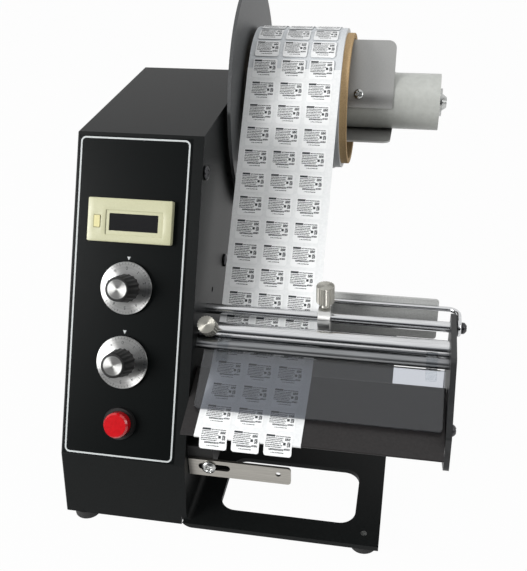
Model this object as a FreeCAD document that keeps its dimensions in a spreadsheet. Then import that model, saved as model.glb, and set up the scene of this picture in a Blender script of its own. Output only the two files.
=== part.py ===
import FreeCAD, Part
import Sketcher
import math
import os
import re

# Label peeling machine for a bench top, in millimetres.
# X runs to the right from the seam of the control housing, Y to the back, Z up.
# Pieces are drawn from the seam and the bend of the front panel, then moved so that
# the origin lies under the middle of the whole machine.

SIZES = {
    # Control housing and side plate
    "lean_angle": 28.56, "panel_length": 180.8, "chin_height": 43.4, "chin_back": 6.0,
    "body_depth": 208.0, "cover_width": 69.3, "cover_sheet": 1.2, "cover_bend": 1.0,
    "plate_sheet": 3.0, "plate_bend": 6.5, "base_reach": 111.0, "base_front": 7.7,
    "base_inset": 8.0, "closing_gap": 0.1,
    # Opening in the base
    "well_left": 19.05, "base_rim": 14.45, "well_front": 6.5, "well_back": 49.6,
    "well_corner": 9.0,
    # Feet
    "foot_height": 5.0, "foot_radius": 7.5, "foot_inset": 10.3, "foot_rim": 8.5,
    "foot_front": 1.0, "foot_rear": 20.0, "foot_bore": 1.75, "foot_recess": 3.6,
    "foot_recess_depth": 2.4, "foot_screw_head": 3.2, "foot_screw_high": 1.6,
    # Common screws and fits
    "thread_radius": 2.0, "fit_gap": 0.05, "pan_radius": 4.0, "pan_height": 2.2,
    "nut_radius": 4.0, "nut_height": 3.2, "cap_radius": 4.2, "cap_height": 3.4,
    # Side plate screws
    "upper_screw_y": 82.5, "upper_screw_z": 182.6, "lower_screw_y": 112.6,
    "lower_screw_z": 111.3, "spare_hole_y": 81.1, "spare_hole_z": 108.9, "spare_hole": 1.6,
    # Front panel
    "film_sheet": 0.3, "film_left": 68.0, "film_right": 3.4, "film_low": 0.8, "film_top": 179.0,
    "counter_left": 59.5, "counter_low": 120.9, "counter_wide": 48.2, "counter_high": 23.9,
    "counter_proud": 3.0, "counter_border": 1.6, "counter_deep": 45.0,
    "window_left": 47.1, "window_low": 127.1, "window_wide": 27.9, "window_high": 9.5,
    "window_deep": 0.8, "reset_left": 55.5, "reset_low": 128.6, "reset_wide": 3.3,
    "reset_high": 6.5, "reset_proud": 0.9, "reset_travel": 0.8, "reset_body": 1.6,
    "dial_x": 35.6, "length_dial_s": 96.0, "speed_dial_s": 54.9, "dial_radius": 14.5,
    "dial_sheet": 1.4, "dial_lift": 1.0, "knob_foot": 8.0, "knob_taper": 5.0, "knob_height": 13.4,
    "knob_rib": 0.45, "knob_cap_radius": 6.0, "knob_cap_height": 0.9, "shaft_radius": 3.0,
    "shaft_deep": 8.0, "pot_radius": 8.5, "pot_deep": 12.0, "bushing_radius": 4.5,
    "power_s": 20.5, "power_radius": 7.4, "power_proud": 7.7, "power_ring": 9.4,
    "power_ring_high": 1.8, "power_deep": 26.0, "power_travel": 3.0,
    # Label roll and its holder
    "roll_inset": 7.8, "roll_z": 187.6, "disc_left": 6.0, "disc_sheet": 2.0, "disc_radius": 73.5,
    "core_left": 8.3, "core_right": 72.5, "core_wall": 3.26, "core_bore": 38.0,
    "roll_left": 11.03, "web_wide": 56.99, "roll_radius": 44.0,
    "tube_radius": 17.6, "tube_right": 127.8, "spindle_radius": 6.0, "shoulder_radius": 7.5,
    "shoulder_sheet": 2.5, "spindle_bolt": 3.0, "bolt_head": 5.0, "bolt_head_high": 6.0,
    "bolt_deep": 15.0, "end_washer": 8.75, "end_washer_sheet": 1.4, "end_dome": 5.5,
    "end_dome_high": 3.0,
    "wing_left": 20.0, "wing_right": 99.0, "wing_sheet": 1.0, "wing_tip": 37.7,
    "wing_bend_angle": 145.2, "wing_wrap": 32.0, "wing_corner": 5.0, "wing_screw_x": 77.6,
    "wing_screw_angle": 6.3, "wing_screw_head": 3.0, "wing_screw_high": 1.6,
    "wing_screw_radius": 1.5, "wing_screw_deep": 5.0,
    # Rods and end arm
    "guide_y": 66.6, "guide_z": 105.1, "guide_radius": 3.0, "bar_y": 51.2, "bar_z": 100.7,
    "bar_radius": 5.0, "journal_radius": 3.0, "hinge_y": 43.0, "hinge_z": 97.1,
    "hinge_radius": 3.0, "arm_left": 141.0, "arm_sheet": 3.0, "arm_corner": 4.0,
    "rod_thread_deep": 9.0, "end_play": 0.1,
    "arm_tip": 1.0, "arm_tip_low": 59.5, "arm_nose": 5.0, "arm_nose_high": 78.0,
    "arm_chin": 20.0, "arm_chin_low": 50.0, "arm_foot": 46.0, "arm_heel": 60.0,
    "arm_brow": 16.0, "arm_brow_high": 91.0, "arm_top": 109.5, "arm_rim": 5.5, "arm_over": 6.4,
    "arm_before": 13.0, "arm_behind": 9.0, "arm_under": 3.0,
    "collar_left": 68.35, "collar_wide": 6.85, "collar_radius": 7.5,
    "thumb_neck": 2.75, "thumb_radius": 5.1, "collar_thumb_low": 10.5, "thumb_long": 10.4,
    "thumb_tooth": 0.5, "bar_seat_low": 1.5,
    "bar_thumb_x": 9.5, "bar_thumb_low": 5.05, "bar_thumb_angle": 45.0,
    # Peeling deck
    "deck_front": 3.2, "deck_z": 70.3, "deck_angle": 18.03, "deck_deep": 45.2,
    "deck_sheet": 1.5, "deck_gap": 0.3, "deck_lip": 8.0, "tab_drop": 14.0, "tab_from": 13.0,
    "tab_to": 40.0, "deck_screw_y": 21.0, "deck_screw_z": 70.5,
    # Clear cover
    "cover_angle": 32.6, "clear_left": 7.7, "clear_right": 139.2, "clear_sheet": 2.0,
    "clear_long": 37.8, "clip_wall": 0.7, "clip_left": 15.3, "clip_right": 129.0,
    "clip_wide": 6.0, "clip_grip": 6.0,
    # Web support
    "wire_radius": 1.45, "wire_left": 14.0, "wire_y": 79.5, "wire_z": 108.6, "wire_bend": 6.0,
    "shield_left": 16.0, "shield_right": 134.5, "shield_low": 86.7, "shield_top": 113.0,
    "shield_sheet": 1.5,
    # Label sensor
    "block_right": 17.5, "block_front": 8.0, "block_back": 24.0, "block_low": 36.0,
    "block_top": 52.0, "strip_left": 3.5, "strip_right": 61.0, "strip_low": 32.5,
    "strip_top": 44.0, "strip_sheet": 1.5, "slot_left": 9.0, "slot_right": 27.0,
    "slot_half": 2.2, "clamp_x": 15.0, "clamp_z": 39.3, "eye_x": 54.0, "eye_radius": 1.5,
    # Label web
    "liner_sheet": 0.25, "web_gap": 0.15, "roll_gap": 0.3, "rest_bend": 14.0, "tail_long": 22.0,
    # Drive
    "roller_y": 40.0, "roller_z": 60.0, "roller_radius": 12.0, "roller_left": 8.0,
    "roller_right": 138.0, "axle_radius": 4.0, "bush_radius": 6.0, "pinch_radius": 7.0,
    "nip_gap": 0.6, "nip_angle": 15.0, "pulley_left": 14.0, "pulley_wide": 10.0,
    "roller_pulley": 12.0, "motor_pulley_radius": 8.0, "pulley_flange": 1.5, "belt_wide": 6.6,
    "belt_sheet": 1.6, "belt_gap": 0.1, "motor_y": 105.0, "motor_z": 55.0,
    "motor_radius": 18.5, "motor_long": 45.0, "motor_shaft": 3.0, "post_long": 16.0,
    "post_radius": 4.0, "mount_half": 28.0, "mount_sheet": 3.0, "post_inset": 6.0,
    # Supply, board and inlet
    "supply_left": 60.0, "supply_wide": 48.0, "supply_gap": 7.0, "supply_rear": 12.0,
    "supply_high": 34.0, "board_left": 20.0, "board_sheet": 1.6, "board_inset": 68.0,
    "board_wide": 56.0, "board_low": 92.0, "board_high": 46.0, "inlet_x": 35.0,
    "inlet_z": 62.0, "inlet_half_wide": 13.5, "inlet_half_high": 10.0, "inlet_deep": 20.0,
    "inlet_flange": 2.0, "inlet_lip": 2.5,
}

# Places that follow from the sizes above
LINKS = {
    "base_top": "foot_height + plate_sheet",
    "base_back": "body_depth - base_inset",
    "well_right": "base_reach - base_rim",
    "foot_left": "cover_width - foot_inset",
    "foot_right": "base_reach - foot_rim",
    "foot_back": "body_depth - foot_rear",
    "roll_y": "body_depth - roll_inset",
    "supply_front": "motor_y + mount_half + supply_gap",
    "supply_back": "body_depth - supply_rear",
    "board_front": "body_depth - board_inset",
    "panel_top_y": "panel_length * sin(lean_angle)",
    "panel_top_z": "chin_height + panel_length * cos(lean_angle)",
    "chin_foot_y": "0 - chin_back",
    "arm_outer": "arm_left + arm_sheet",
    "wire_out_x": "arm_outer + fit_gap + wire_radius",
    "cap_seat": "wire_out_x + wire_radius + fit_gap",
    "origin_x": "(cap_seat + cap_height - cover_width) / 2",
    "origin_y": "(roll_y + disc_radius - base_front) / 2",
    "rod_bore": "thread_radius + fit_gap",
    "bezel_front": "film_sheet + counter_proud",
    "disc_right": "disc_left + disc_sheet",
    "core_radius": "core_bore + core_wall",
    "roll_right": "roll_left + web_wide",
    "shoulder_end": "plate_sheet + shoulder_sheet",
    "bar_left": "plate_sheet + end_play",
    "bar_right": "arm_left - end_play",
    "collar_right": "collar_left + collar_wide",
    "deck_left": "plate_sheet + deck_gap",
    "deck_right": "arm_left - deck_gap",
    "tab_y": "(deck_screw_y + deck_front) * cos(deck_angle) + (deck_screw_z - deck_z) * sin(deck_angle)",
    "tab_z": "(deck_screw_z - deck_z) * cos(deck_angle) - (deck_screw_y + deck_front) * sin(deck_angle)",
    "pinch_away": "roller_radius + pinch_radius + nip_gap",
    "pinch_y": "roller_y + pinch_away * cos(nip_angle)",
    "pinch_z": "roller_z - pinch_away * sin(nip_angle)",
    "post_left": "0 - post_long",
    "mount_left": "0 - post_long - mount_sheet",
    "wing_reach": "sqrt(wing_tip * wing_tip - (tube_radius + wing_sheet) * (tube_radius + wing_sheet))",
}

doc = FreeCAD.newDocument("LabelPeelingMachine")
sheet = doc.addObject("Spreadsheet::Sheet", "Sizes")
for row, (alias, number) in enumerate(SIZES.items(), 1):
    sheet.set(f"A{row}", alias)
    sheet.set(f"B{row}", str(number))
    sheet.setAlias(f"B{row}", alias)
doc.recompute()

nodes = []


# Short words for binding sizes and joining solids

def spell(rule):
    """Point every size and every derived place in a rule at its cells."""
    def word(found):
        name = found.group(0)
        if name in LINKS:
            return "(" + spell(LINKS[name]) + ")"
        return "Sizes." + name if name in SIZES else name
    return re.sub(r"[a-z][a-z_]+", word, rule)


def bind(thing, path, rule):
    thing.setExpression(path, spell(rule))


FRAMES = {
    "machine": ("0", "0", "0", "0"),
    "panel": ("0", "0", "chin_height", "90 - lean_angle"),
    "deck": ("0", "0 - deck_front", "deck_z", "deck_angle"),
    "roll": ("0", "roll_y", "roll_z", "0"),
    "flap": ("0", "hinge_y", "hinge_z", "cover_angle"),
    "thumb": ("bar_thumb_x", "bar_y", "bar_z", "bar_thumb_angle"),
}


def put(thing, frame, moved, extra="0"):
    """Place a thing in one of the frames, all of them turned about X."""
    x, y, z, angle = FRAMES[frame]
    thing.Placement = FreeCAD.Placement(
        FreeCAD.Vector(), FreeCAD.Rotation(FreeCAD.Vector(1, 0, 0), 10))
    bind(thing, "Placement.Rotation.Angle", f"{angle} + {extra}")
    bind(thing, "Placement.Base.x", f"{x} - origin_x" if moved else x)
    bind(thing, "Placement.Base.y", f"{y} - origin_y" if moved else y)
    bind(thing, "Placement.Base.z", z)


def box(name, x, y, z):
    block = doc.addObject("Part::Box", name)
    sides = zip(("Length", "Width", "Height"), "xyz", (x, y, z))
    for side, letter, (low, high) in sides:
        bind(block, side, f"({high}) - ({low})")
        bind(block, "Placement.Base." + letter, low)
    return block


def rod(name, axis, span, across, radius, top_radius=None):
    """A cylinder, or a cone with a top radius, along X, Y or Z."""
    kind = "Part::Cone" if top_radius else "Part::Cylinder"
    bar = doc.addObject(kind, name)
    turn, angle = {"x": ((0, 1, 0), 90), "y": ((1, 0, 0), -90), "z": ((0, 0, 1), 0)}[axis]
    bar.Placement = FreeCAD.Placement(
        FreeCAD.Vector(), FreeCAD.Rotation(FreeCAD.Vector(*turn), angle))
    bind(bar, "Height", f"({span[1]}) - ({span[0]})")
    bind(bar, "Radius1" if top_radius else "Radius", radius)
    if top_radius:
        bind(bar, "Radius2", top_radius)
    others = iter(across)
    for letter in "xyz":
        bind(bar, "Placement.Base." + letter, span[0] if letter == axis else next(others))
    return bar


def group(name, solids, frame="machine"):
    parts = doc.addObject("Part::Compound", name)
    parts.Links = solids
    put(parts, frame, False)
    return parts


def fuse(name, solids):
    whole = doc.addObject("Part::MultiFuse", name)
    whole.Shapes = solids
    return whole


def cut(name, base, tools):
    rest = doc.addObject("Part::Cut", name)
    rest.Base = base
    rest.Tool = tools[0] if len(tools) == 1 else group(name + "_tools", tools)
    return rest


def common(name, one, other):
    shared = doc.addObject("Part::Common", name)
    shared.Base = one
    shared.Tool = other
    return shared


def node(label, solids, frame="machine"):
    """One piece, or one set of like pieces, at its place in the machine."""
    piece = doc.addObject("Part::Compound", label)
    piece.Label = label
    piece.Links = solids
    put(piece, frame, True)
    nodes.append(piece)
    return piece


PLANES = {"x": "YZ_Plane", "y": "XZ_Plane", "z": "XY_Plane"}


def prism(name, axis, span, corners, rounds=None):
    """Pad an outline of bound corners along an axis, and round the corners that are named."""
    body = doc.addObject("PartDesign::Body", name)
    plane = [part for part in body.Origin.OriginFeatures if part.Role == PLANES[axis]][0]
    sketch = body.newObject("Sketcher::SketchObject", name + "_outline")
    sketch.AttachmentSupport = (plane, [""])
    sketch.MapMode = "FlatFace"
    bind(sketch, "AttachmentOffset.Base.z", f"0 - ({span[1]})" if axis == "y" else span[0])
    count = len(corners)
    start = [FreeCAD.Vector(10 * math.cos(2 * math.pi * k / count),
                            10 * math.sin(2 * math.pi * k / count), 0) for k in range(count)]
    for k in range(count):
        sketch.addGeometry(Part.LineSegment(start[k], start[(k + 1) % count]))
    for k in range(count):
        sketch.addConstraint(Sketcher.Constraint("Coincident", k, 2, (k + 1) % count, 1))
    for k, corner in enumerate(corners):
        for way, rule, now in zip(("DistanceX", "DistanceY"), corner, start[k]):
            held = sketch.addConstraint(Sketcher.Constraint(way, -1, 1, k, 1, now))
            bind(sketch, f"Constraints[{held}]", rule)
    pad = body.newObject("PartDesign::Pad", name + "_pad")
    pad.Profile = sketch
    bind(pad, "Length", f"({span[1]}) - ({span[0]})")
    doc.recompute()
    last = pad
    for order, (radius, chosen) in enumerate((rounds or {}).items()):
        points = [sketch.Geometry[k].StartPoint for k in chosen]
        names = corner_edges(last.Shape, axis, points)
        fillet = body.newObject("PartDesign::Fillet", f"{name}_round_{order}")
        fillet.Base = (last, names)
        bind(fillet, "Radius", radius)
        doc.recompute()
        last = fillet
    return body


def toothed(name, span, across, radius, tooth, teeth, taper="0"):
    """A grip along Z with straight teeth round it, drawn in towards its far end by a taper."""
    corners = []
    for k in range(2 * teeth):
        angle = math.pi * k / teeth
        reach = f"({radius} - {tooth})" if k % 2 else f"({radius})"
        corners.append((f"{across[0]} + {reach} * {round(math.cos(angle), 6)}",
                        f"{across[1]} + {reach} * {round(math.sin(angle), 6)}"))
    grip = prism(name, "z", span, corners)
    bind(grip.Tip, "TaperAngle", taper)
    return grip


def corner_edges(shape, axis, points):
    """Names of the edges along the axis that stand on the given outline points."""
    across = {"x": (1, 2), "y": (0, 2), "z": (0, 1)}[axis]
    along = "xyz".index(axis)
    names = []
    for number, edge in enumerate(shape.Edges, 1):
        ends = [vertex.Point for vertex in edge.Vertexes]
        if len(ends) != 2 or abs(ends[0][along] - ends[1][along]) < 0.01:
            continue
        for point in points:
            off = [abs(end[k] - value) for end in ends for k, value in zip(across, point)]
            if max(off) < 0.001:
                names.append(f"Edge{number}")
    return names


def pan_screw(name, axis, seat, across, deep, out=1, radius="pan_radius", high="pan_height",
              thread="thread_radius"):
    """A screw whose head stands out from its seat and whose shank runs the other way."""
    if out > 0:
        head = rod(name + "_head", axis, (seat, f"{seat} + {high}"), across, radius)
        shank = rod(name + "_shank", axis, (f"{seat} - ({deep})", seat), across, thread)
    else:
        head = rod(name + "_head", axis, (f"{seat} - {high}", seat), across, radius)
        shank = rod(name + "_shank", axis, (seat, f"{seat} + {deep}"), across, thread)
    return fuse(name, [head, shank])


def cap_screw(name, seat, across, deep):
    """A socket cap screw along X with its hexagon socket."""
    head = rod(name + "_head", "x", (seat, f"{seat} + cap_height"), across, "cap_radius")
    shank = rod(name + "_shank", "x", (f"{seat} - ({deep})", seat), across, "thread_radius")
    socket = hexagon(name + "_socket", (f"{seat} + cap_height * 0.4", f"{seat} + cap_height"),
                     across, "cap_radius * 0.42")
    return cut(name, fuse(name + "_solid", [head, shank]), [socket])


def hexagon(name, span, across, radius):
    """A hexagonal bar along X."""
    corners = []
    for k in range(6):
        angle = 60 * k + 30
        corners.append((f"{across[0]} + ({radius}) * {round(math.cos(math.radians(angle)), 6)}",
                        f"{across[1]} + ({radius}) * {round(math.sin(math.radians(angle)), 6)}"))
    return prism(name, "x", span, corners)


def nut(name, span, across):
    body = hexagon(name + "_body", span, across, "nut_radius")
    bore = rod(name + "_bore", "x", span, across, "rod_bore")
    return cut(name, body, [bore])


SIDE = [("0 - chin_back", "foot_height"), ("0", "chin_height"), ("panel_top_y", "panel_top_z"),
        ("body_depth", "panel_top_z"), ("body_depth", "foot_height")]


# Control housing

def make_panel_holes():
    """Cut-outs in the sloped panel, drawn in the panel's own frame."""
    counter = box("counter_hole",
                  ("0 - counter_left + counter_border - fit_gap",
                   "0 - counter_left + counter_wide - counter_border + fit_gap"),
                  ("counter_low + counter_border - fit_gap",
                   "counter_low + counter_high - counter_border + fit_gap"),
                  ("0 - cover_sheet * 3", "cover_sheet * 3"))
    holes = [counter]
    for name, place, radius in (("length", "length_dial_s", "bushing_radius + fit_gap"),
                                ("speed", "speed_dial_s", "bushing_radius + fit_gap"),
                                ("power", "power_s", "power_radius + fit_gap * 4")):
        holes.append(rod(f"{name}_hole", "z", ("0 - cover_sheet * 3", "cover_sheet * 3"),
                         ("0 - dial_x", place), radius))
    return holes


def make_cover(holes):
    """A folded sheet cover, open to the side plate and to the floor."""
    body = prism("cover_block", "x", ("0 - cover_width", "0"), SIDE)
    block = body.Tip
    open_faces = []
    outer_faces = []
    for number, face in enumerate(block.Shape.Faces, 1):
        middle = face.CenterOfMass
        low = abs(middle.z - sheet.foot_height) < 0.01
        right = abs(middle.x) < 0.01
        (open_faces if low or right else outer_faces).append(f"Face{number}")
    shell = body.newObject("PartDesign::Thickness", "cover_shell")
    shell.Base = (block, open_faces)
    shell.Mode = 0
    shell.Join = 1
    shell.Reversed = True
    bind(shell, "Value", "cover_sheet")
    doc.recompute()
    outer = []
    for number, edge in enumerate(shell.Shape.Edges, 1):
        ends = [vertex.Point for vertex in edge.Vertexes]
        left = all(abs(end.x + sheet.cover_width) < 0.01 for end in ends)
        low = all(abs(end.z - sheet.foot_height) < 0.01 for end in ends)
        if left and not low:
            outer.append(f"Edge{number}")
    bend = body.newObject("PartDesign::Fillet", "cover_bends")
    bend.Base = (shell, outer)
    bind(bend, "Radius", "cover_bend")
    inlet = box("inlet_hole",
                ("0 - inlet_x - inlet_half_wide - fit_gap", "0 - inlet_x + inlet_half_wide + fit_gap"),
                ("body_depth - cover_sheet * 2", "body_depth + cover_sheet"),
                ("inlet_z - inlet_half_high - fit_gap", "inlet_z + inlet_half_high + fit_gap"))
    panel = group("panel_cuts", holes, "panel")
    return node("control_cover", [cut("cover_cut", body, [panel, inlet])])


FEET = [("0 - foot_left", "foot_front"), ("0 - foot_left", "foot_back"),
        ("foot_right", "foot_front"), ("foot_right", "foot_back")]


def foot_bores(places, name):
    return [rod(f"{name}_{k}", "z", ("foot_height - 1", "base_top + 1"), place, "foot_bore")
            for k, place in enumerate(places)]


def make_side_plate():
    """One sheet bent into the side wall and the base, with the well cut in the base."""
    profile = prism("plate_fold", "y", ("0 - base_front", "body_depth"),
                    [("0", "foot_height"), ("base_reach", "foot_height"), ("base_reach", "base_top"),
                     ("plate_sheet", "base_top"), ("plate_sheet", "panel_top_z"),
                     ("0", "panel_top_z")],
                    {"plate_bend": [0], "plate_bend - plate_sheet": [3]})
    wall = prism("wall_outline", "x", ("0 - 1", "base_reach + 1"),
                 [("0 - base_front", "foot_height"), ("0 - base_front", "base_top"),
                  ("0 - chin_back * (chin_height - base_top) / (chin_height - foot_height)",
                   "base_top"),
                  ("0", "chin_height"), ("panel_top_y", "panel_top_z"),
                  ("body_depth", "panel_top_z"), ("body_depth", "foot_height")])
    plate = common("plate_blank", profile, wall)
    well = prism("base_well", "z", ("foot_height - 1", "base_top + 1"),
                 [("well_left", "well_front"), ("well_right", "well_front"),
                  ("well_right", "well_back"), ("well_left", "well_back")],
                 {"well_corner": [0, 1, 2, 3]})
    rear = box("base_rear", ("plate_bend", "base_reach + 1"), ("base_back", "body_depth + 1"),
               ("foot_height - 1", "base_top + 1"))
    across = ("0 - 1", "plate_sheet + 1")
    holes = [well, rear]
    for name, y, z, radius in (
            ("upper", "upper_screw_y", "upper_screw_z", "rod_bore"),
            ("lower", "lower_screw_y", "lower_screw_z", "rod_bore"),
            ("spare", "spare_hole_y", "spare_hole_z", "spare_hole"),
            ("deck", "deck_screw_y", "deck_screw_z", "rod_bore"),
            ("bar", "bar_y", "bar_z", "journal_radius + fit_gap"),
            ("pinch", "pinch_y", "pinch_z", "journal_radius + fit_gap"),
            ("bush", "roller_y", "roller_z", "bush_radius"),
            ("spindle", "roll_y", "roll_z", "spindle_bolt + fit_gap")):
        holes.append(rod(f"plate_{name}_hole", "x", across, (y, z), radius))
    holes += foot_bores(FEET[2:], "base_foot_bore")
    return node("main_plate", [cut("plate_cut", plate, holes)])


def make_bottom():
    """The closing sheet under the control housing."""
    floor = box("bottom_sheet",
                ("0 - cover_width + cover_sheet + closing_gap", "0 - closing_gap"),
                ("0 - chin_back + cover_sheet * 1.2", "body_depth - cover_sheet - closing_gap"),
                ("foot_height", "foot_height + cover_sheet"))
    return node("bottom_cover", [cut("bottom_cut", floor, foot_bores(FEET[:2], "floor_bore"))])


def make_feet():
    feet = []
    screws = []
    for k, place in enumerate(FEET):
        pad = rod(f"foot_pad_{k}", "z", ("0", "foot_height"), place, "foot_radius")
        bore = rod(f"foot_hole_{k}", "z", ("0 - 1", "foot_height + 1"), place, "foot_bore")
        recess = rod(f"foot_recess_{k}", "z", ("0 - 1", "foot_recess_depth"), place, "foot_recess")
        feet.append(cut(f"foot_{k}", pad, [fuse(f"foot_inside_{k}", [bore, recess])]))
        top = "foot_height + cover_sheet" if k < 2 else "base_top"
        screws.append(pan_screw(f"foot_screw_{k}", "z", "foot_recess_depth", place,
                                f"{top} - foot_recess_depth", -1, "foot_screw_head",
                                "foot_screw_high", "foot_bore - fit_gap"))
    node("rubber_feet", feet)
    node("foot_screws", screws)


def make_side_screws():
    places = [("upper", "upper_screw_y", "upper_screw_z"), ("lower", "lower_screw_y", "lower_screw_z")]
    screws = []
    nuts = []
    for name, y, z in places:
        screws.append(pan_screw(f"side_screw_{name}", "x", "plate_sheet", (y, z),
                                "plate_sheet + nut_height + 1"))
        nuts.append(nut(f"side_nut_{name}", ("0 - nut_height", "0"), (y, z)))
    node("side_screws", screws)
    deck_nut = nut("deck_nut", ("deck_right - deck_sheet - nut_height", "deck_right - deck_sheet"),
                   ("deck_screw_y", "deck_screw_z"))
    node("hex_nuts", nuts + [deck_nut])


# Front panel pieces, drawn in the panel's frame with Z as its outward normal

def make_film(holes):
    sheet_film = box("film_sheet_block", ("0 - film_left", "0 - film_right"),
                     ("film_low", "film_top"), ("0", "film_sheet"))
    node("panel_overlay", [cut("film_cut", sheet_film, holes)], "panel")


def make_counter():
    """The counter's bezel and case, its window and its reset key."""
    left = "0 - counter_left"
    bezel = prism("counter_bezel", "z", ("film_sheet", "bezel_front"),
                  [(left, "counter_low"), (f"{left} + counter_wide", "counter_low"),
                   (f"{left} + counter_wide", "counter_low + counter_high"),
                   (left, "counter_low + counter_high")], {"cover_bend": [0, 1, 2, 3]})
    case = box("counter_body", (f"{left} + counter_border",
                                f"{left} + counter_wide - counter_border"),
               ("counter_low + counter_border", "counter_low + counter_high - counter_border"),
               ("0 - counter_deep", "film_sheet"))
    window_x = ("0 - window_left", "0 - window_left + window_wide")
    window_y = ("window_low", "window_low + window_high")
    reset_x = ("0 - reset_left", "0 - reset_left + reset_wide")
    reset_y = ("reset_low", "reset_low + reset_high")
    window_cut = box("window_recess", window_x, window_y, ("bezel_front - window_deep",
                                                           "bezel_front + 1"))
    well = [(f"{low} - fit_gap * 2", f"{high} + fit_gap * 2") for low, high in (reset_x, reset_y)]
    reset_cut = box("reset_recess", well[0], well[1],
                    ("bezel_front - reset_body - reset_travel - fit_gap * 2", "bezel_front + 1"))
    node("counter_case", [cut("counter_cut", fuse("counter_solid", [bezel, case]),
                              [window_cut, reset_cut])], "panel")
    pane = box("window_pane", window_x, window_y, ("bezel_front - window_deep",
                                                   "bezel_front - window_deep / 2"))
    node("counter_window", [pane], "panel")
    key = box("reset_key", reset_x, reset_y, ("bezel_front - reset_body",
                                              "bezel_front + reset_proud"))
    node("reset_button", [key], "panel")


def make_dial(name, place):
    """A dial skirt, a ribbed knob on its shaft and the metal cap of the knob."""
    at = ("0 - dial_x", place)
    low = "film_sheet + dial_lift"
    top = f"{low} + dial_sheet"
    skirt = rod(f"{name}_skirt", "z", (low, top), at, "dial_radius")
    bore = rod(f"{name}_skirt_bore", "z", (f"{low} - 1", f"{top} + 1"), at,
               "shaft_radius + fit_gap")
    node(f"{name}_dial", [cut(f"{name}_skirt_cut", skirt, [bore])], "panel")
    knob_top = f"{top} + knob_height"
    ribbed = toothed(f"{name}_grip", (top, knob_top), at, "knob_foot", "knob_rib", 18,
                     "0 - knob_taper")
    stem = rod(f"{name}_stem", "z", ("0 - shaft_deep", f"{top} + 1"), at, "shaft_radius")
    node(f"{name}_knob", [fuse(f"{name}_knob_solid", [ribbed, stem])], "panel")
    cap = rod(f"{name}_cap", "z", (knob_top, f"{knob_top} + knob_cap_height"), at,
              "knob_cap_radius")
    node(f"{name}_knob_cap", [cap], "panel")
    case = rod(f"{name}_pot_case", "z", ("0 - cover_sheet - pot_deep", "0 - cover_sheet"), at,
               "pot_radius")
    neck = rod(f"{name}_pot_neck", "z", ("0 - cover_sheet", "film_sheet + dial_lift * 0.7"), at,
               "bushing_radius")
    hollow = rod(f"{name}_pot_bore", "z", ("0 - shaft_deep - 0.5", "film_sheet + dial_lift"), at,
                 "shaft_radius + fit_gap")
    return cut(f"{name}_pot", fuse(f"{name}_pot_solid", [case, neck]), [hollow])


def make_power_button():
    """A push button in a ring, with its switch body behind the panel."""
    at = ("0 - dial_x", "power_s")
    ring = rod("power_ring_block", "z", ("film_sheet", "film_sheet + power_ring_high"), at,
               "power_ring", "power_ring * 0.94")
    case = rod("power_case", "z", ("0 - power_deep", "film_sheet"), at,
               "power_radius + fit_gap * 3")
    hollow = rod("power_hollow", "z", ("0 - power_travel - fit_gap * 4", "film_sheet + 3"), at,
                 "power_radius - 0.4 + fit_gap * 3")
    node("power_switch_body", [cut("power_cut", fuse("power_solid", [ring, case]), [hollow])],
         "panel")
    low = rod("power_cap_low", "z", ("0 - fit_gap", "power_proud - 1"), at, "power_radius - 0.4")
    top = rod("power_cap_top", "z", ("power_proud - 1", "power_proud"), at,
              "power_radius - 0.4", "power_radius - 1.3")
    node("power_button", [fuse("power_cap", [low, top])], "panel")


# Roll holder, drawn from the roll's axis

def make_spindle():
    axis = ("0", "0")
    shoulder = rod("spindle_shoulder", "x", ("plate_sheet", "shoulder_end"), axis,
                   "shoulder_radius")
    bar = rod("spindle_bar", "x", ("shoulder_end", "tube_right + fit_gap * 2"), axis,
              "spindle_radius")
    bores = [rod("spindle_bore_in", "x", ("plate_sheet - 1", "plate_sheet + bolt_deep + 1"), axis,
                 "spindle_bolt + fit_gap"),
             rod("spindle_bore_out", "x", ("tube_right - 12", "tube_right + 1"), axis, "rod_bore")]
    node("spindle", [cut("spindle_cut", fuse("spindle_solid", [shoulder, bar]), bores)], "roll")
    head = rod("bolt_head_block", "x", ("0 - bolt_head_high", "0"), axis, "bolt_head")
    shank = rod("bolt_shank", "x", ("0", "plate_sheet + bolt_deep"), axis, "spindle_bolt")
    node("spindle_screw", [fuse("bolt", [head, shank])], "roll")
    washer = rod("end_washer_block", "x",
                 ("tube_right + fit_gap * 2", "tube_right + fit_gap * 2 + end_washer_sheet"),
                 axis, "end_washer")
    dome = rod("end_dome_block", "x",
               ("tube_right + end_washer_sheet", "tube_right + end_washer_sheet + end_dome_high"),
               axis, "end_dome", "end_dome * 0.6")
    pin = rod("end_pin", "x", ("tube_right - 11", "tube_right + 1"), axis, "thread_radius")
    node("spindle_end_cap", [fuse("end_cap", [washer, dome, pin])], "roll")


def wing_frame(name, solids, turn):
    """Turn pieces drawn with the saddle's bend on +Y to their place round the tube."""
    parts = doc.addObject("Part::Compound", name)
    parts.Links = solids
    put(parts, "machine", False, f"wing_bend_angle + {turn}")
    return parts


def wing_screw_tool(name, low, high, radius):
    """A bar along the saddle's radius through the wing's screw place."""
    bar = rod(name, "y", (low, high), ("wing_screw_x", "0"), radius)
    parts = doc.addObject("Part::Compound", name + "_at")
    parts.Links = [bar]
    put(parts, "machine", False, "wing_screw_angle")
    return parts


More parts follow.
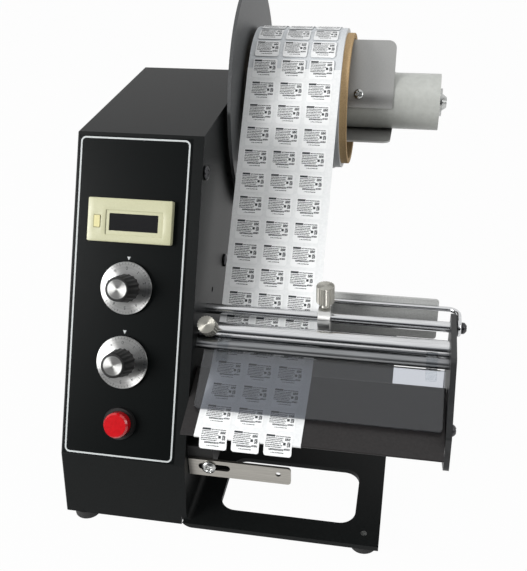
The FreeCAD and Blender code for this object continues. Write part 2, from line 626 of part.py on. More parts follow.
def make_holder():
    """The tube with its three sprung wings, the side disc, the core and the roll."""
    axis = ("0", "0")
    turns = [120 * k for k in range(3)]
    tube = rod("tube_bar", "x", ("shoulder_end + fit_gap * 2", "tube_right"), axis, "tube_radius")
    bore = rod("tube_bore", "x", ("0", "tube_right + 1"), axis, "spindle_radius + fit_gap")
    seats = []
    wings = []
    screws = []
    for turn in turns:
        hole = wing_screw_tool(f"seat_{turn}", "tube_radius - wing_screw_deep - 1",
                               "tube_radius + 3", "wing_screw_radius + fit_gap")
        seats.append(wing_frame(f"seat_at_{turn}", [hole], turn))
        wings.append(wing_frame(f"wing_at_{turn}", [make_wing(turn)], turn))
        head = wing_screw_tool(f"wing_head_{turn}", "tube_radius + wing_sheet + fit_gap",
                               "tube_radius + wing_sheet + fit_gap + wing_screw_high",
                               "wing_screw_head")
        shank = wing_screw_tool(f"wing_shank_{turn}", "tube_radius - wing_screw_deep",
                                "tube_radius + wing_sheet + fit_gap", "wing_screw_radius")
        screws.append(wing_frame(f"wing_screw_{turn}",
                                 [fuse(f"wing_screw_solid_{turn}", [head, shank])], turn))
    node("holder_tube", [cut("tube_cut", tube, [bore] + seats)], "roll")
    node("holder_wings", wings, "roll")
    node("wing_screws", screws, "roll")
    plate = rod("disc_block", "x", ("disc_left", "disc_right"), axis, "disc_radius")
    eye = rod("disc_bore", "x", ("disc_left - 1", "disc_right + 1"), axis,
              "tube_radius + fit_gap")
    node("holder_disc", [cut("disc_cut", plate, [eye])], "roll")
    core = rod("core_block", "x", ("core_left", "core_right"), axis, "core_radius")
    inside = rod("core_inside", "x", ("core_left - 1", "core_right + 1"), axis, "core_bore")
    node("roll_core", [cut("core_cut", core, [inside])], "roll")
    paper = rod("paper_block", "x", ("roll_left", "roll_right"), axis, "roll_radius")
    hollow = rod("paper_inside", "x", ("roll_left - 1", "roll_right + 1"), axis,
                 "core_radius + fit_gap")
    node("label_roll", [cut("paper_cut", paper, [hollow])], "roll")


def make_wing(turn):
    """A saddle that hugs the tube and a blade that leaves it along the tangent."""
    span = ("wing_left", "wing_right")
    wide = "wing_right - wing_left"
    outer = rod(f"saddle_outer_{turn}", "x", span, ("0", "0"), "tube_radius + fit_gap + wing_sheet")
    inner = rod(f"saddle_inner_{turn}", "x", ("wing_left - 1", "wing_right + 1"), ("0", "0"),
                "tube_radius + fit_gap")
    ring = cut(f"saddle_ring_{turn}", outer, [inner])
    far = "tube_radius + 4"
    wedge = prism(f"saddle_wedge_{turn}", "x", span,
                  [("0", "0"), (far, "0"), (f"({far}) * cos(wing_wrap)", f"({far}) * sin(wing_wrap)")])
    saddle = common(f"saddle_{turn}", ring, wedge)
    blade = prism(f"blade_{turn}", "y", ("tube_radius + fit_gap", "tube_radius + fit_gap + wing_sheet"),
                  [("wing_left", "0"), ("wing_left", "0 - wing_reach"),
                   ("wing_right", "0 - wing_reach"), ("wing_right", "0")],
                  {"wing_corner": [1, 2]})
    whole = fuse(f"wing_solid_{turn}", [saddle, blade])
    hole = wing_screw_tool(f"wing_hole_{turn}", "tube_radius - 1", "tube_radius + 4",
                           "wing_screw_radius + fit_gap")
    return cut(f"wing_{turn}", whole, [hole])


# Rods, collar and thumb screws

def make_rods():
    guide = rod("guide_bar", "x", ("plate_sheet", "arm_left"), ("guide_y", "guide_z"),
                "guide_radius")
    thread = rod("guide_thread", "x", ("arm_left - rod_thread_deep - 1", "arm_left + 1"),
                 ("guide_y", "guide_z"), "rod_bore")
    node("top_guide_rod", [cut("guide_cut", guide, [thread])])
    hinge = rod("hinge_bar", "x", ("plate_sheet", "arm_left"), ("hinge_y", "hinge_z"),
                "hinge_radius")
    node("cover_hinge_rod", [hinge])
    at = ("bar_y", "bar_z")
    bar = rod("bar_middle", "x", ("bar_left", "bar_right"), at, "bar_radius")
    pins = rod("bar_journals", "x", ("end_play", "arm_outer - end_play"), at, "journal_radius")
    thread = rod("bar_thread", "z", ("1", "bar_radius + 1"), ("0", "0"), "rod_bore")
    node("hold_down_bar", [cut("bar_cut", fuse("bar_solid", [bar, pins]),
                               [group("bar_thread_at", [thread], "thumb")])])


def thumb_screw(name, across, low, high, neck, shank_low, head):
    """A knurled head, a neck and a threaded shank along Z."""
    knurled = toothed(name + "_grip", (low, high), across, head, "thumb_tooth", 20)
    parts = [knurled, rod(name + "_shank", "z", (shank_low, f"{low} + 1"), across,
                          "thread_radius")]
    if neck:
        parts.append(rod(name + "_neck", "z", (neck, f"{low} + 1"), across, "thumb_neck"))
    return fuse(name, parts)


def make_collar():
    middle = "collar_left + collar_wide / 2"
    at = ("guide_y", "guide_z")
    ring = rod("collar_block", "x", ("collar_left", "collar_right"), at, "collar_radius")
    bore = rod("collar_bore", "x", ("collar_left - 1", "collar_right + 1"), at,
               "guide_radius + fit_gap")
    thread = rod("collar_thread", "z", ("guide_z", "guide_z + collar_radius + 1"),
                 (middle, "guide_y"), "rod_bore")
    node("guide_collar", [cut("collar_cut", ring, [bore, thread])])
    screw = thumb_screw("collar_screw", (middle, "guide_y"), "guide_z + collar_thumb_low",
                        "guide_z + collar_thumb_low + thumb_long",
                        "guide_z + collar_radius + fit_gap",
                        "guide_z + guide_radius + fit_gap * 3", "thumb_radius")
    node("collar_thumb_screw", [screw])
    screw = thumb_screw("bar_screw", ("0", "0"), "bar_thumb_low",
                        "bar_thumb_low + thumb_long", None, "bar_seat_low", "thumb_radius")
    node("bar_thumb_screw", [screw], "thumb")


# End arm, deck and clear cover

def make_arm():
    """The end plate that carries the outer ends of the rods, the deck and the rollers."""
    outline = [("arm_tip", "arm_tip_low"), ("arm_chin", "arm_chin_low"),
               ("roller_y + arm_under", "arm_foot"), ("pinch_y + arm_behind", "arm_foot"),
               ("wire_y - arm_rim", "arm_heel"), ("wire_y - arm_rim", "guide_z + arm_over"),
               ("hinge_y - arm_before", "arm_top"), ("arm_brow", "arm_brow_high"),
               ("arm_nose", "arm_nose_high")]
    plate = prism("arm_outline", "x", ("arm_left", "arm_outer"), outline,
                  {"arm_corner": [0, 2, 5, 6, 8], "arm_corner * 2": [3, 4]})
    holes = []
    for name, y, z, radius in (
            ("guide", "guide_y", "guide_z", "rod_bore"),
            ("deck", "deck_screw_y", "deck_screw_z", "rod_bore"),
            ("bar", "bar_y", "bar_z", "journal_radius + fit_gap"),
            ("pinch", "pinch_y", "pinch_z", "journal_radius + fit_gap"),
            ("bush", "roller_y", "roller_z", "bush_radius")):
        holes.append(rod(f"arm_{name}_hole", "x", ("arm_left - 1", "arm_outer + 1"), (y, z), radius))
    node("end_arm", [cut("arm_cut", plate, holes)])
    upper = cap_screw("arm_screw_upper", "cap_seat", ("guide_y", "guide_z"),
                      "cap_seat - arm_left + rod_thread_deep")
    lower = cap_screw("arm_screw_lower", "arm_outer", ("deck_screw_y", "deck_screw_z"),
                      "arm_outer - deck_right + deck_sheet + nut_height + 1")
    node("arm_screws", [upper, lower])


def make_deck():
    """A folded deck with a rounded peeling edge, a rear lip and a tab at each end."""
    span = ("deck_left", "deck_right")
    top = prism("deck_top", "x", span,
                [("0", "0"), ("0", "0 - deck_sheet"),
                 ("deck_deep - deck_sheet", "0 - deck_sheet"),
                 ("deck_deep - deck_sheet", "0 - deck_lip"), ("deck_deep", "0 - deck_lip"),
                 ("deck_deep", "0")],
                {"deck_sheet * 0.49": [0, 1], "deck_sheet": [5]})
    tabs = []
    holes = []
    for name, low, high in (("left", "deck_left", "deck_left + deck_sheet"),
                            ("right", "deck_right - deck_sheet", "deck_right")):
        tabs.append(prism(f"tab_{name}", "x", (low, high),
                          [("tab_from", "0 - tab_drop"), ("tab_to", "0 - tab_drop"),
                           ("tab_to", "0 - deck_sheet / 2"), ("tab_from", "0 - deck_sheet / 2")],
                          {"arm_corner": [0, 1]}))
        holes.append(rod(f"tab_hole_{name}", "x", (f"{low} - 1", f"{high} + 1"),
                         ("tab_y", "tab_z"), "rod_bore"))
    node("peel_deck", [cut("deck_cut", fuse("deck_solid", [top] + tabs), holes)], "deck")
    screw = pan_screw("deck_screw_solid", "x", "deck_left + deck_sheet",
                      ("deck_screw_y", "deck_screw_z"), "deck_left + deck_sheet")
    node("deck_screw", [screw])


def make_clear_cover():
    """A clear flap that lies over the deck and hangs on the hinge rod by two clips."""
    reach = ("0 - clear_long", "0 - hinge_radius - clip_wall - 0.4")
    pane = prism("clear_pane", "z", ("0 - clear_sheet / 2", "clear_sheet / 2"),
                 [("clear_left", reach[0]), ("clear_right", reach[0]),
                  ("clear_right", reach[1]), ("clear_left", reach[1])],
                 {"arm_corner / 2": [0, 1]})
    node("acrylic_cover", [pane], "flap")
    clips = []
    for name, left in (("left", "clip_left"), ("right", "clip_right")):
        span = (left, f"{left} + clip_wide")
        sleeve = rod(f"clip_sleeve_{name}", "x", span, ("0", "0"), "hinge_radius + fit_gap + clip_wall")
        jaw = box(f"clip_jaw_{name}", span, ("0 - hinge_radius - clip_grip - 1", "0 - 2"),
                  ("0 - clear_sheet / 2 - clip_wall", "clear_sheet / 2 + clip_wall"))
        bore = rod(f"clip_bore_{name}", "x", (f"{left} - 1", f"{left} + clip_wide + 1"),
                   ("0", "0"), "hinge_radius + fit_gap")
        mouth = box(f"clip_mouth_{name}", (f"{left} - 1", f"{left} + clip_wide + 1"),
                    ("0 - hinge_radius - clip_grip - 2", reach[1]),
                    ("0 - clear_sheet / 2", "clear_sheet / 2"))
        clips.append(cut(f"clip_{name}", fuse(f"clip_solid_{name}", [sleeve, jaw]), [bore, mouth]))
    node("cover_clips", clips, "flap")


# Web support and sensor

def make_web_support():
    """A bent wire with an eye under the upper arm screw, and the plate it carries."""
    long_run = rod("wire_run", "x", ("wire_left", "wire_out_x - wire_bend"), ("wire_y", "wire_z"),
                   "wire_radius")
    bend = doc.addObject("Part::Torus", "wire_turn")
    bind(bend, "Radius1", "wire_bend")
    bind(bend, "Radius2", "wire_radius")
    bend.Angle3 = 90
    for letter, rule in zip("xyz", ("wire_out_x - wire_bend", "wire_y - wire_bend", "wire_z")):
        bind(bend, "Placement.Base." + letter, rule)
    side_run = rod("wire_side", "y", ("guide_y", "wire_y - wire_bend"), ("wire_out_x", "wire_z"),
                   "wire_radius")
    eye = doc.addObject("Part::Torus", "wire_eye")
    eye.Placement = FreeCAD.Placement(
        FreeCAD.Vector(), FreeCAD.Rotation(FreeCAD.Vector(1, 0, 1), 180))
    eye.Angle3 = 275
    bind(eye, "Radius1", "wire_z - guide_z")
    bind(eye, "Radius2", "wire_radius")
    for letter, rule in zip("xyz", ("wire_out_x", "guide_y", "guide_z")):
        bind(eye, "Placement.Base." + letter, rule)
    node("web_support_wire", [fuse("wire_solid", [long_run, bend, side_run, eye])])
    shield = prism("shield_block", "y",
                   ("wire_y + wire_radius", "wire_y + wire_radius + shield_sheet"),
                   [("shield_left", "shield_low"), ("shield_right", "shield_low"),
                    ("shield_right", "shield_top"), ("shield_left", "shield_top")],
                   {"arm_corner / 2": [0, 1, 2, 3]})
    node("web_support_plate", [shield])


def make_sensor():
    """A block on the side plate and the slotted strip that is clamped to it."""
    block = prism("sensor_body", "y", ("block_front", "block_back"),
                  [("plate_sheet", "block_low"), ("block_right", "block_low"),
                   ("block_right", "block_top"), ("plate_sheet", "block_top")],
                  {"cover_bend": [1, 2]})
    thread = rod("sensor_thread", "y", ("block_front - 1", "block_front + 9"),
                 ("clamp_x", "clamp_z"), "rod_bore")
    node("sensor_block", [cut("sensor_cut", block, [thread])])
    front = "block_front - strip_sheet"
    strip = prism("strip_block", "y", (front, "block_front"),
                  [("strip_left", "strip_low"), ("strip_right", "strip_low"),
                   ("strip_right", "strip_top"), ("strip_left", "strip_top")],
                  {"arm_corner / 2": [1, 2]})
    slot = prism("strip_slot", "y", (f"{front} - 1", "block_front + 1"),
                 [("slot_left", "clamp_z - slot_half"), ("slot_right", "clamp_z - slot_half"),
                  ("slot_right", "clamp_z + slot_half"), ("slot_left", "clamp_z + slot_half")],
                 {"slot_half * 0.98": [0, 1, 2, 3]})
    eye = rod("strip_eye", "y", (f"{front} - 1", "block_front + 1"), ("eye_x", "clamp_z"),
              "eye_radius")
    node("sensor_arm", [cut("strip_cut", strip, [slot, eye])])
    screw = pan_screw("clamp_screw", "y", front, ("clamp_x", "clamp_z"), "strip_sheet + 8", -1)
    node("sensor_clamp_screw", [screw])


# Routes round rollers, used by the web and the belt

def tangent(first, second):
    """The straight run between two turns, each given as y, z and a signed radius."""
    gap = (second[0] - first[0], second[1] - first[1])
    heading = math.atan2(gap[1], gap[0]) - math.asin((second[2] - first[2]) / math.hypot(*gap))
    left = (-math.sin(heading), math.cos(heading))
    return [(turn[0] - turn[2] * left[0], turn[1] - turn[2] * left[1]) for turn in (first, second)]


def route(turns, side, left, closed=False):
    """Edges of a route, at X left, that runs to one side of the middle line."""
    turns = [(y, z, radius - side) for y, z, radius in turns]
    pairs = list(zip(turns, turns[1:] + turns[:1])) if closed else list(zip(turns, turns[1:]))
    runs = [tangent(first, second) for first, second in pairs]
    edges = []
    for k, (start, end) in enumerate(runs):
        edges.append(Part.makeLine(*[FreeCAD.Vector(left, *point) for point in (start, end)]))
        if k == len(runs) - 1 and not closed:
            break
        y, z, radius = pairs[k][1]
        leave = runs[(k + 1) % len(runs)][0]
        edges.append(turn_arc(left, (y, z), radius, end, leave))
    return edges


def turn_arc(left, middle, radius, arrive, leave):
    """The arc that keeps the way of travel from one straight run to the next."""
    one = math.atan2(arrive[1] - middle[1], arrive[0] - middle[0])
    two = math.atan2(leave[1] - middle[1], leave[0] - middle[0])
    sweep = (two - one) % (2 * math.pi)
    if radius < 0:
        sweep -= 2 * math.pi
    halfway = one + sweep / 2
    reach = abs(radius)
    points = [arrive, (middle[0] + reach * math.cos(halfway), middle[1] + reach * math.sin(halfway)),
              leave]
    return Part.Arc(*[FreeCAD.Vector(left, *point) for point in points]).toShape()


def shaped(label, shape):
    """A piece whose outline is worked out from tangents."""
    piece = doc.addObject("Part::Feature", label)
    piece.Label = label
    piece.Shape = shape
    put(piece, "machine", True)
    nodes.append(piece)


def make_web():
    """The liner from the roll, under the guide rod, over the deck and down to the nip."""
    half = sheet.liner_sheet / 2
    off = sheet.web_gap + half
    lean = math.radians(sheet.deck_angle)
    along = (math.cos(lean), math.sin(lean))
    up = (-along[1], along[0])

    def on_deck(distance, height):
        return (-sheet.deck_front + distance * along[0] + height * up[0],
                sheet.deck_z + distance * along[1] + height * up[1])

    edge = sheet.deck_sheet / 2
    nip = math.radians(-sheet.nip_angle)
    leave = sheet.roller_radius + off
    away = sheet.tail_long
    tail = (sheet.roller_y + leave * math.cos(nip) + away * math.sin(nip),
            sheet.roller_z + leave * math.sin(nip) - away * math.cos(nip))
    turns = [(sheet.body_depth - sheet.roll_inset, sheet.roll_z, sheet.roll_radius + sheet.roll_gap + half),
             (sheet.guide_y, sheet.guide_z, -(sheet.guide_radius + off)),
             (*on_deck(sheet.deck_deep - 3, sheet.rest_bend), -(sheet.rest_bend - off)),
             (*on_deck(edge, -edge), edge + off),
             (sheet.roller_y, sheet.roller_z, -leave),
             (*tail, 0)]
    under = route(turns, half, sheet.roll_left)
    over = route(turns, -half, sheet.roll_left)
    ends = [Part.makeLine(under[0].Vertexes[0].Point, over[0].Vertexes[0].Point),
            Part.makeLine(under[-1].Vertexes[-1].Point, over[-1].Vertexes[-1].Point)]
    outline = Part.Wire(Part.__sortEdges__(under + over + ends))
    shaped("label_web", Part.Face(outline).extrude(FreeCAD.Vector(sheet.web_wide, 0, 0)))


def make_belt():
    """The belt that loops both pulleys."""
    off = sheet.belt_gap + sheet.belt_sheet / 2
    turns = [(sheet.roller_y, sheet.roller_z, sheet.roller_pulley - sheet.pulley_flange + off),
             (sheet.motor_y, sheet.motor_z, sheet.motor_pulley_radius - sheet.pulley_flange + off)]
    low = (sheet.pulley_wide - sheet.belt_wide) / 2 - sheet.pulley_left
    loops = [Part.Wire(Part.__sortEdges__(route(turns, side * sheet.belt_sheet / 2, low, True)))
             for side in (-1, 1)]
    rings = [Part.Face(loop).extrude(FreeCAD.Vector(sheet.belt_wide, 0, 0)) for loop in loops]
    shaped("drive_belt", rings[0].cut(rings[1]))


# Drive behind the side plate

def pulley(name, at, radius, bore):
    """A pulley with a groove for the belt between its two flanges."""
    low = "0 - pulley_left"
    side = "(pulley_wide - belt_wide) / 2 - fit_gap * 4"
    body = rod(name + "_body", "x", (low, f"{low} + pulley_wide"), at, f"{radius} - pulley_flange")
    rims = [rod(name + "_rim_in", "x", (low, f"{low} + {side}"), at, f"{radius} + pulley_flange / 2"),
            rod(name + "_rim_out", "x", (f"{low} + pulley_wide - ({side})", f"{low} + pulley_wide"),
                at, f"{radius} + pulley_flange / 2")]
    hole = rod(name + "_hole", "x", (f"{low} - 1", f"{low} + pulley_wide + 1"), at, bore)
    return cut(name, fuse(name + "_solid", [body] + rims), [hole])


def make_drive():
    """Drive roller in its bushes, pinch roller, belt drive and gear motor."""
    at = ("roller_y", "roller_z")
    axle = rod("axle_bar", "x", ("0 - pulley_left - 1", "arm_outer - end_play"), at, "axle_radius")
    node("drive_roller_shaft", [axle])
    rubber = rod("rubber_bar", "x", ("roller_left", "roller_right"), at, "roller_radius")
    bore = rod("rubber_bore", "x", ("roller_left - 1", "roller_right + 1"), at,
               "axle_radius + fit_gap")
    node("drive_roller_rubber", [cut("rubber_cut", rubber, [bore])])
    bushes = []
    for name, low, high in (("left", "0", "plate_sheet"), ("right", "arm_left", "arm_outer")):
        ring = rod(f"bush_{name}_ring", "x", (low, high), at, "bush_radius - fit_gap / 2")
        hole = rod(f"bush_{name}_hole", "x", (f"{low} - 1", f"{high} + 1"), at,
                   "axle_radius + fit_gap")
        bushes.append(cut(f"bush_{name}", ring, [hole]))
    node("roller_bushes", bushes)
    node("roller_pulley", [pulley("driven_pulley", at, "roller_pulley",
                                  "axle_radius + fit_gap")])
    pinch_at = ("pinch_y", "pinch_z")
    barrel = rod("pinch_barrel", "x", ("roller_left + 1", "roller_right - 1"), pinch_at,
                 "pinch_radius")
    pins = rod("pinch_pins", "x", ("end_play", "arm_outer - end_play"), pinch_at,
               "journal_radius")
    node("pinch_roller", [fuse("pinch_solid", [barrel, pins])])
    motor_at = ("motor_y", "motor_z")
    small = pulley("driving_pulley", motor_at, "motor_pulley_radius", "motor_shaft")
    stub = rod("motor_stub", "x", ("mount_left - 6", "0 - pulley_left + pulley_wide"), motor_at,
               "motor_shaft")
    node("motor_pulley", [fuse("motor_pulley_solid", [small, stub])])
    plate = box("mount_block", ("mount_left", "post_left"),
                ("motor_y - mount_half", "motor_y + mount_half"),
                ("motor_z - mount_half", "motor_z + mount_half"))
    eye = rod("mount_eye", "x", ("mount_left - 1", "post_left + 1"), motor_at,
              "motor_shaft + 3")
    node("motor_plate", [cut("mount_cut", plate, [eye])])
    can = rod("motor_can", "x", ("mount_left - motor_long", "mount_left"), motor_at,
              "motor_radius")
    throat = rod("motor_throat", "x", ("mount_left - 7", "mount_left + 1"), motor_at,
                 "motor_shaft + fit_gap")
    node("drive_motor", [cut("motor_cut", can, [throat])])
    return make_posts()


def make_posts():
    """Posts that hold the motor plate and the control board off the side plate."""
    posts = []
    reach = "mount_half - post_inset"
    for k, (a, b) in enumerate((("-", "-"), ("+", "-"), ("-", "+"), ("+", "+"))):
        posts.append(rod(f"motor_post_{k}", "x", ("post_left", "0"),
                         (f"motor_y {a} ({reach})", f"motor_z {b} ({reach})"), "post_radius"))
    corners = (("board_front + post_inset", "board_low + post_inset"),
               ("board_front + board_wide - post_inset", "board_low + post_inset"),
               ("board_front + post_inset", "board_low + board_high - post_inset"),
               ("board_front + board_wide - post_inset", "board_low + board_high - post_inset"))
    for k, place in enumerate(corners):
        posts.append(rod(f"board_post_{k}", "x", ("0 - board_left + board_sheet", "0"), place,
                         "post_radius"))
    node("standoffs", posts)


def make_electrics():
    supply = box("supply_block", ("0 - supply_left", "0 - supply_left + supply_wide"),
                 ("supply_front", "supply_back"),
                 ("foot_height + cover_sheet", "foot_height + cover_sheet + supply_high"))
    node("power_supply", [supply])
    board = box("board_block", ("0 - board_left", "0 - board_left + board_sheet"),
                ("board_front", "board_front + board_wide"), ("board_low", "board_low + board_high"))
    node("control_board", [board])
    sides = ("0 - inlet_x - inlet_half_wide", "0 - inlet_x + inlet_half_wide")
    levels = ("inlet_z - inlet_half_high", "inlet_z + inlet_half_high")
    case = box("inlet_case", sides, ("body_depth - inlet_deep", "body_depth"), levels)
    flange = box("inlet_face", (f"{sides[0]} - inlet_lip", f"{sides[1]} + inlet_lip"),
                 ("body_depth", "body_depth + inlet_flange"),
                 (f"{levels[0]} - inlet_lip", f"{levels[1]} + inlet_lip"))
    socket = prism("inlet_socket", "y", ("body_depth - inlet_deep + 3", "body_depth + inlet_flange + 1"),
                   [(f"{sides[0]} + 2", f"{levels[0]} + 2"), (f"{sides[1]} - 2", f"{levels[0]} + 2"),
                    (f"{sides[1]} - 2", f"{levels[1]} - 6"), (f"{sides[1]} - 6", f"{levels[1]} - 2"),
                    (f"{sides[0]} + 6", f"{levels[1]} - 2"), (f"{sides[0]} + 2", f"{levels[1]} - 6")])
    blades = [box(f"inlet_blade_{k}", (f"0 - inlet_x + {x} - 1", f"0 - inlet_x + {x} + 1"),
                  ("body_depth - inlet_deep + 2.5", "body_depth - 4"),
                  (f"inlet_z + {z} - 2", f"inlet_z + {z} + 2"))
              for k, (x, z) in enumerate(((-7, -2), (0, 1.5), (7, -2)))]
    hollow = cut("inlet_hollow", fuse("inlet_solid", [case, flange]), [socket])
    node("power_inlet", [fuse("inlet_whole", [hollow] + blades)])


panel_holes = make_panel_holes()
make_cover(panel_holes)
make_side_plate()
make_bottom()
make_feet()
make_side_screws()
make_film(panel_holes)
make_counter()
pots = [make_dial("length", "length_dial_s"), make_dial("speed", "speed_dial_s")]
node("panel_pots", pots, "panel")
make_power_button()
make_spindle()
make_holder()
make_rods()
make_collar()
make_arm()
make_deck()
make_clear_cover()
make_web_support()
make_sensor()
make_web()
make_drive()
make_belt()
make_electrics()
doc.recompute()

faults = [item.Name for item in doc.Objects if "Invalid" in item.State or "Error" in item.State]
for piece in nodes:
    if piece.Shape.isNull() or not piece.Shape.isValid() or not piece.Shape.Solids:
        faults.append(piece.Label)
if faults:
    raise RuntimeError("failed: " + ", ".join(faults))

os.makedirs("parts", exist_ok=True)
for piece in nodes:
    piece.Shape.exportStep(f"parts/{piece.Label}.step")
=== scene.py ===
import bmesh
import bpy
import math
from mathutils import Matrix, Vector


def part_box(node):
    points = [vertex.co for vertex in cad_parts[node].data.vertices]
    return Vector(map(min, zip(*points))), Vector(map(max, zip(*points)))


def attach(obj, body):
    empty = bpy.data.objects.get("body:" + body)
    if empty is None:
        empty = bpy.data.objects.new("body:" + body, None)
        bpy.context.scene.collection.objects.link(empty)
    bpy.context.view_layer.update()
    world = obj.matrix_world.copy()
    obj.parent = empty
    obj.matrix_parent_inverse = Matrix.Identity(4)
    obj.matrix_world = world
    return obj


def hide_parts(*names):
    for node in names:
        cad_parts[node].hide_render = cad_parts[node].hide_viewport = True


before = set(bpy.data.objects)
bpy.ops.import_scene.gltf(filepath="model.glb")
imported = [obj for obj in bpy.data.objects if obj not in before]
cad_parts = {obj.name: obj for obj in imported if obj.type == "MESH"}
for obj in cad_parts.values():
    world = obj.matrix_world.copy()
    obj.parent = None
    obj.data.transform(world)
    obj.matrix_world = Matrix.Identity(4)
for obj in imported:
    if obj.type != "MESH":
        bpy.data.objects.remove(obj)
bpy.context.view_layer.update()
scene = bpy.context.scene
scene.view_settings.view_transform = "Standard"


# The camera stands in front of the machine, to its right and above it, and looks down on
# it. Its place, its three angles and its focal length in pixels were fitted to the straight
# edges and the circles of the photograph.
mm = 0.001
picture_height = 571
focal_pixels = 830.35
sensor_height = 36
camera_place = Vector((75.33, -457.70, 363.18)) * mm
yaw = math.radians(11.416)
pitch = math.radians(31.019)
roll = math.radians(-1.697)

forward = Vector((-math.sin(yaw) * math.cos(pitch), math.cos(yaw) * math.cos(pitch),
                  -math.sin(pitch)))
level_right = Vector((math.cos(yaw), math.sin(yaw), 0))
level_up = level_right.cross(forward)
right = level_right * math.cos(roll) + level_up * math.sin(roll)
up = level_up * math.cos(roll) - level_right * math.sin(roll)
camera_data = bpy.data.cameras.new("camera")
camera_data.sensor_fit = "VERTICAL"
camera_data.sensor_height = sensor_height
camera_data.sensor_width = sensor_height
camera_data.lens = focal_pixels / picture_height * sensor_height
camera_data.clip_start = 0.01
camera = bpy.data.objects.new("camera", camera_data)
camera.matrix_world = Matrix((right, up, -forward)).transposed().to_4x4()
camera.location = camera_place
scene.collection.objects.link(camera)
scene.camera = camera


# The studio is a white sweep behind the machine under a wide soft box. What lights the
# object is bright overhead and dark at the horizon, so that round steel shows its bands.
# The camera sees plain white, and so do gloss and clear plastic that look to the back.
def linear(code):
    """An sRGB hex colour as linear red, green, blue and alpha."""
    parts = [int(code[start:start + 2], 16) / 255 for start in (1, 3, 5)]
    curve = [p / 12.92 if p <= 0.04045 else ((p + 0.055) / 1.055) ** 2.4 for p in parts]
    return (*curve, 1)


def add(tree, kind, settings=None, links=None):
    """Add a node with its settings and its links; "stops" are the colours along a ramp."""
    made = tree.nodes.new(kind)
    for name, value in (settings or {}).items():
        if name == "stops":
            while len(made.color_ramp.elements) < len(value):
                made.color_ramp.elements.new(1)
            for element, (place, code) in zip(made.color_ramp.elements, value):
                element.position = place
                element.color = linear(code)
        elif isinstance(name, int) or name in made.inputs:
            made.inputs[name].default_value = value
        else:
            setattr(made, name, value)
    for name, source in (links or {}).items():
        tree.links.new(source, made.inputs[name])
    return made


front_stops = [(0.0, "#3A3A3A"), (0.5, "#202123"), (0.7, "#232427"), (0.8, "#77797C"),
               (0.88, "#F4F5F6"), (1.0, "#FFFFFF")]
rear_stops = [(0.0, "#6A6A6A"), (0.46, "#8A8A8A"), (0.52, "#DCDDDE"), (0.62, "#CCCDCE"),
              (0.74, "#7A7B7E"), (0.8, "#9A9C9E"), (0.88, "#F4F5F6"), (1.0, "#FFFFFF")]
studio_strength = 1.05

world = bpy.data.worlds.new("studio")
world.use_nodes = True
sky = world.node_tree
sky.nodes.clear()
direction = add(sky, "ShaderNodeTexCoord")
axes = add(sky, "ShaderNodeSeparateXYZ", links={"Vector": direction.outputs["Generated"]})
lifted = add(sky, "ShaderNodeMapRange", {"From Min": -1, "From Max": 1},
             {"Value": axes.outputs["Z"]})
front_tint = add(sky, "ShaderNodeValToRGB", {"stops": front_stops},
                 {"Fac": lifted.outputs["Result"]})
rear_tint = add(sky, "ShaderNodeValToRGB", {"stops": rear_stops},
                {"Fac": lifted.outputs["Result"]})
behind = add(sky, "ShaderNodeMapRange", {"From Min": -0.1, "From Max": 0.5},
             {"Value": axes.outputs["Y"]})
tint = add(sky, "ShaderNodeMix", {"data_type": "RGBA"},
           {"Factor": behind.outputs["Result"], 6: front_tint.outputs["Color"],
            7: rear_tint.outputs["Color"]})
studio_light = add(sky, "ShaderNodeBackground", {"Strength": studio_strength},
                   {"Color": tint.outputs[2]})
white = add(sky, "ShaderNodeBackground", {"Color": linear("#FFFFFF"), "Strength": 1.0})
ray = add(sky, "ShaderNodeLightPath")
bounced = add(sky, "ShaderNodeMath", {"operation": "MAXIMUM"},
              {0: ray.outputs["Is Glossy Ray"], 1: ray.outputs["Is Transmission Ray"]})
to_the_back = add(sky, "ShaderNodeMath", {"operation": "MULTIPLY"},
                  {0: bounced.outputs[0], 1: behind.outputs["Result"]})
shown = add(sky, "ShaderNodeMath", {"operation": "MAXIMUM"},
            {0: ray.outputs["Is Camera Ray"], 1: to_the_back.outputs[0]})
choice = add(sky, "ShaderNodeMixShader",
             links={0: shown.outputs[0], 1: studio_light.outputs[0], 2: white.outputs[0]})
add(sky, "ShaderNodeOutputWorld", links={"Surface": choice.outputs[0]})
scene.world = world


# Two soft boxes stand on the camera's left and right. The left one is the stronger, and it
# keeps out of the panel's mirror direction, so that the dials don't burn out.
lamp_aim = Vector((0, 0, 0.1))
for name, place, size, power in (("key_light", (-0.9, -0.8, 0.5), 0.6, 15.5),
                                 ("side_light", (1.0, -0.35, 0.6), 0.5, 3.0)):
    lamp = bpy.data.lights.new(name, "AREA")
    lamp.size = size
    lamp.energy = power
    stand = bpy.data.objects.new(name, lamp)
    stand.location = place
    stand.rotation_euler = (lamp_aim - Vector(place)).to_track_quat("-Z", "Y").to_euler()
    scene.collection.objects.link(stand)


# The machine stands on a sheet of pale studio paper. It runs out to white all round, and
# keeps the contact shadow of the feet.
def new_tree(name):
    """An empty material and its node tree."""
    material = bpy.data.materials.new(name)
    material.use_nodes = True
    material.node_tree.nodes.clear()
    return material, material.node_tree


def piece(name, mesh, material, body=None, smooth=True):
    """Link a finished bmesh as a piece that rides on a body."""
    data = bpy.data.meshes.new(name)
    bmesh.ops.recalc_face_normals(mesh, faces=mesh.faces)
    mesh.to_mesh(data)
    mesh.free()
    for face in data.polygons:
        face.use_smooth = smooth
    data.materials.append(material)
    made = bpy.data.objects.new(name, data)
    scene.collection.objects.link(made)
    if body:
        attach(made, body)
    return made


paper_half = 3.0
paper_clump = 6.6667
paper_glow = 0.975

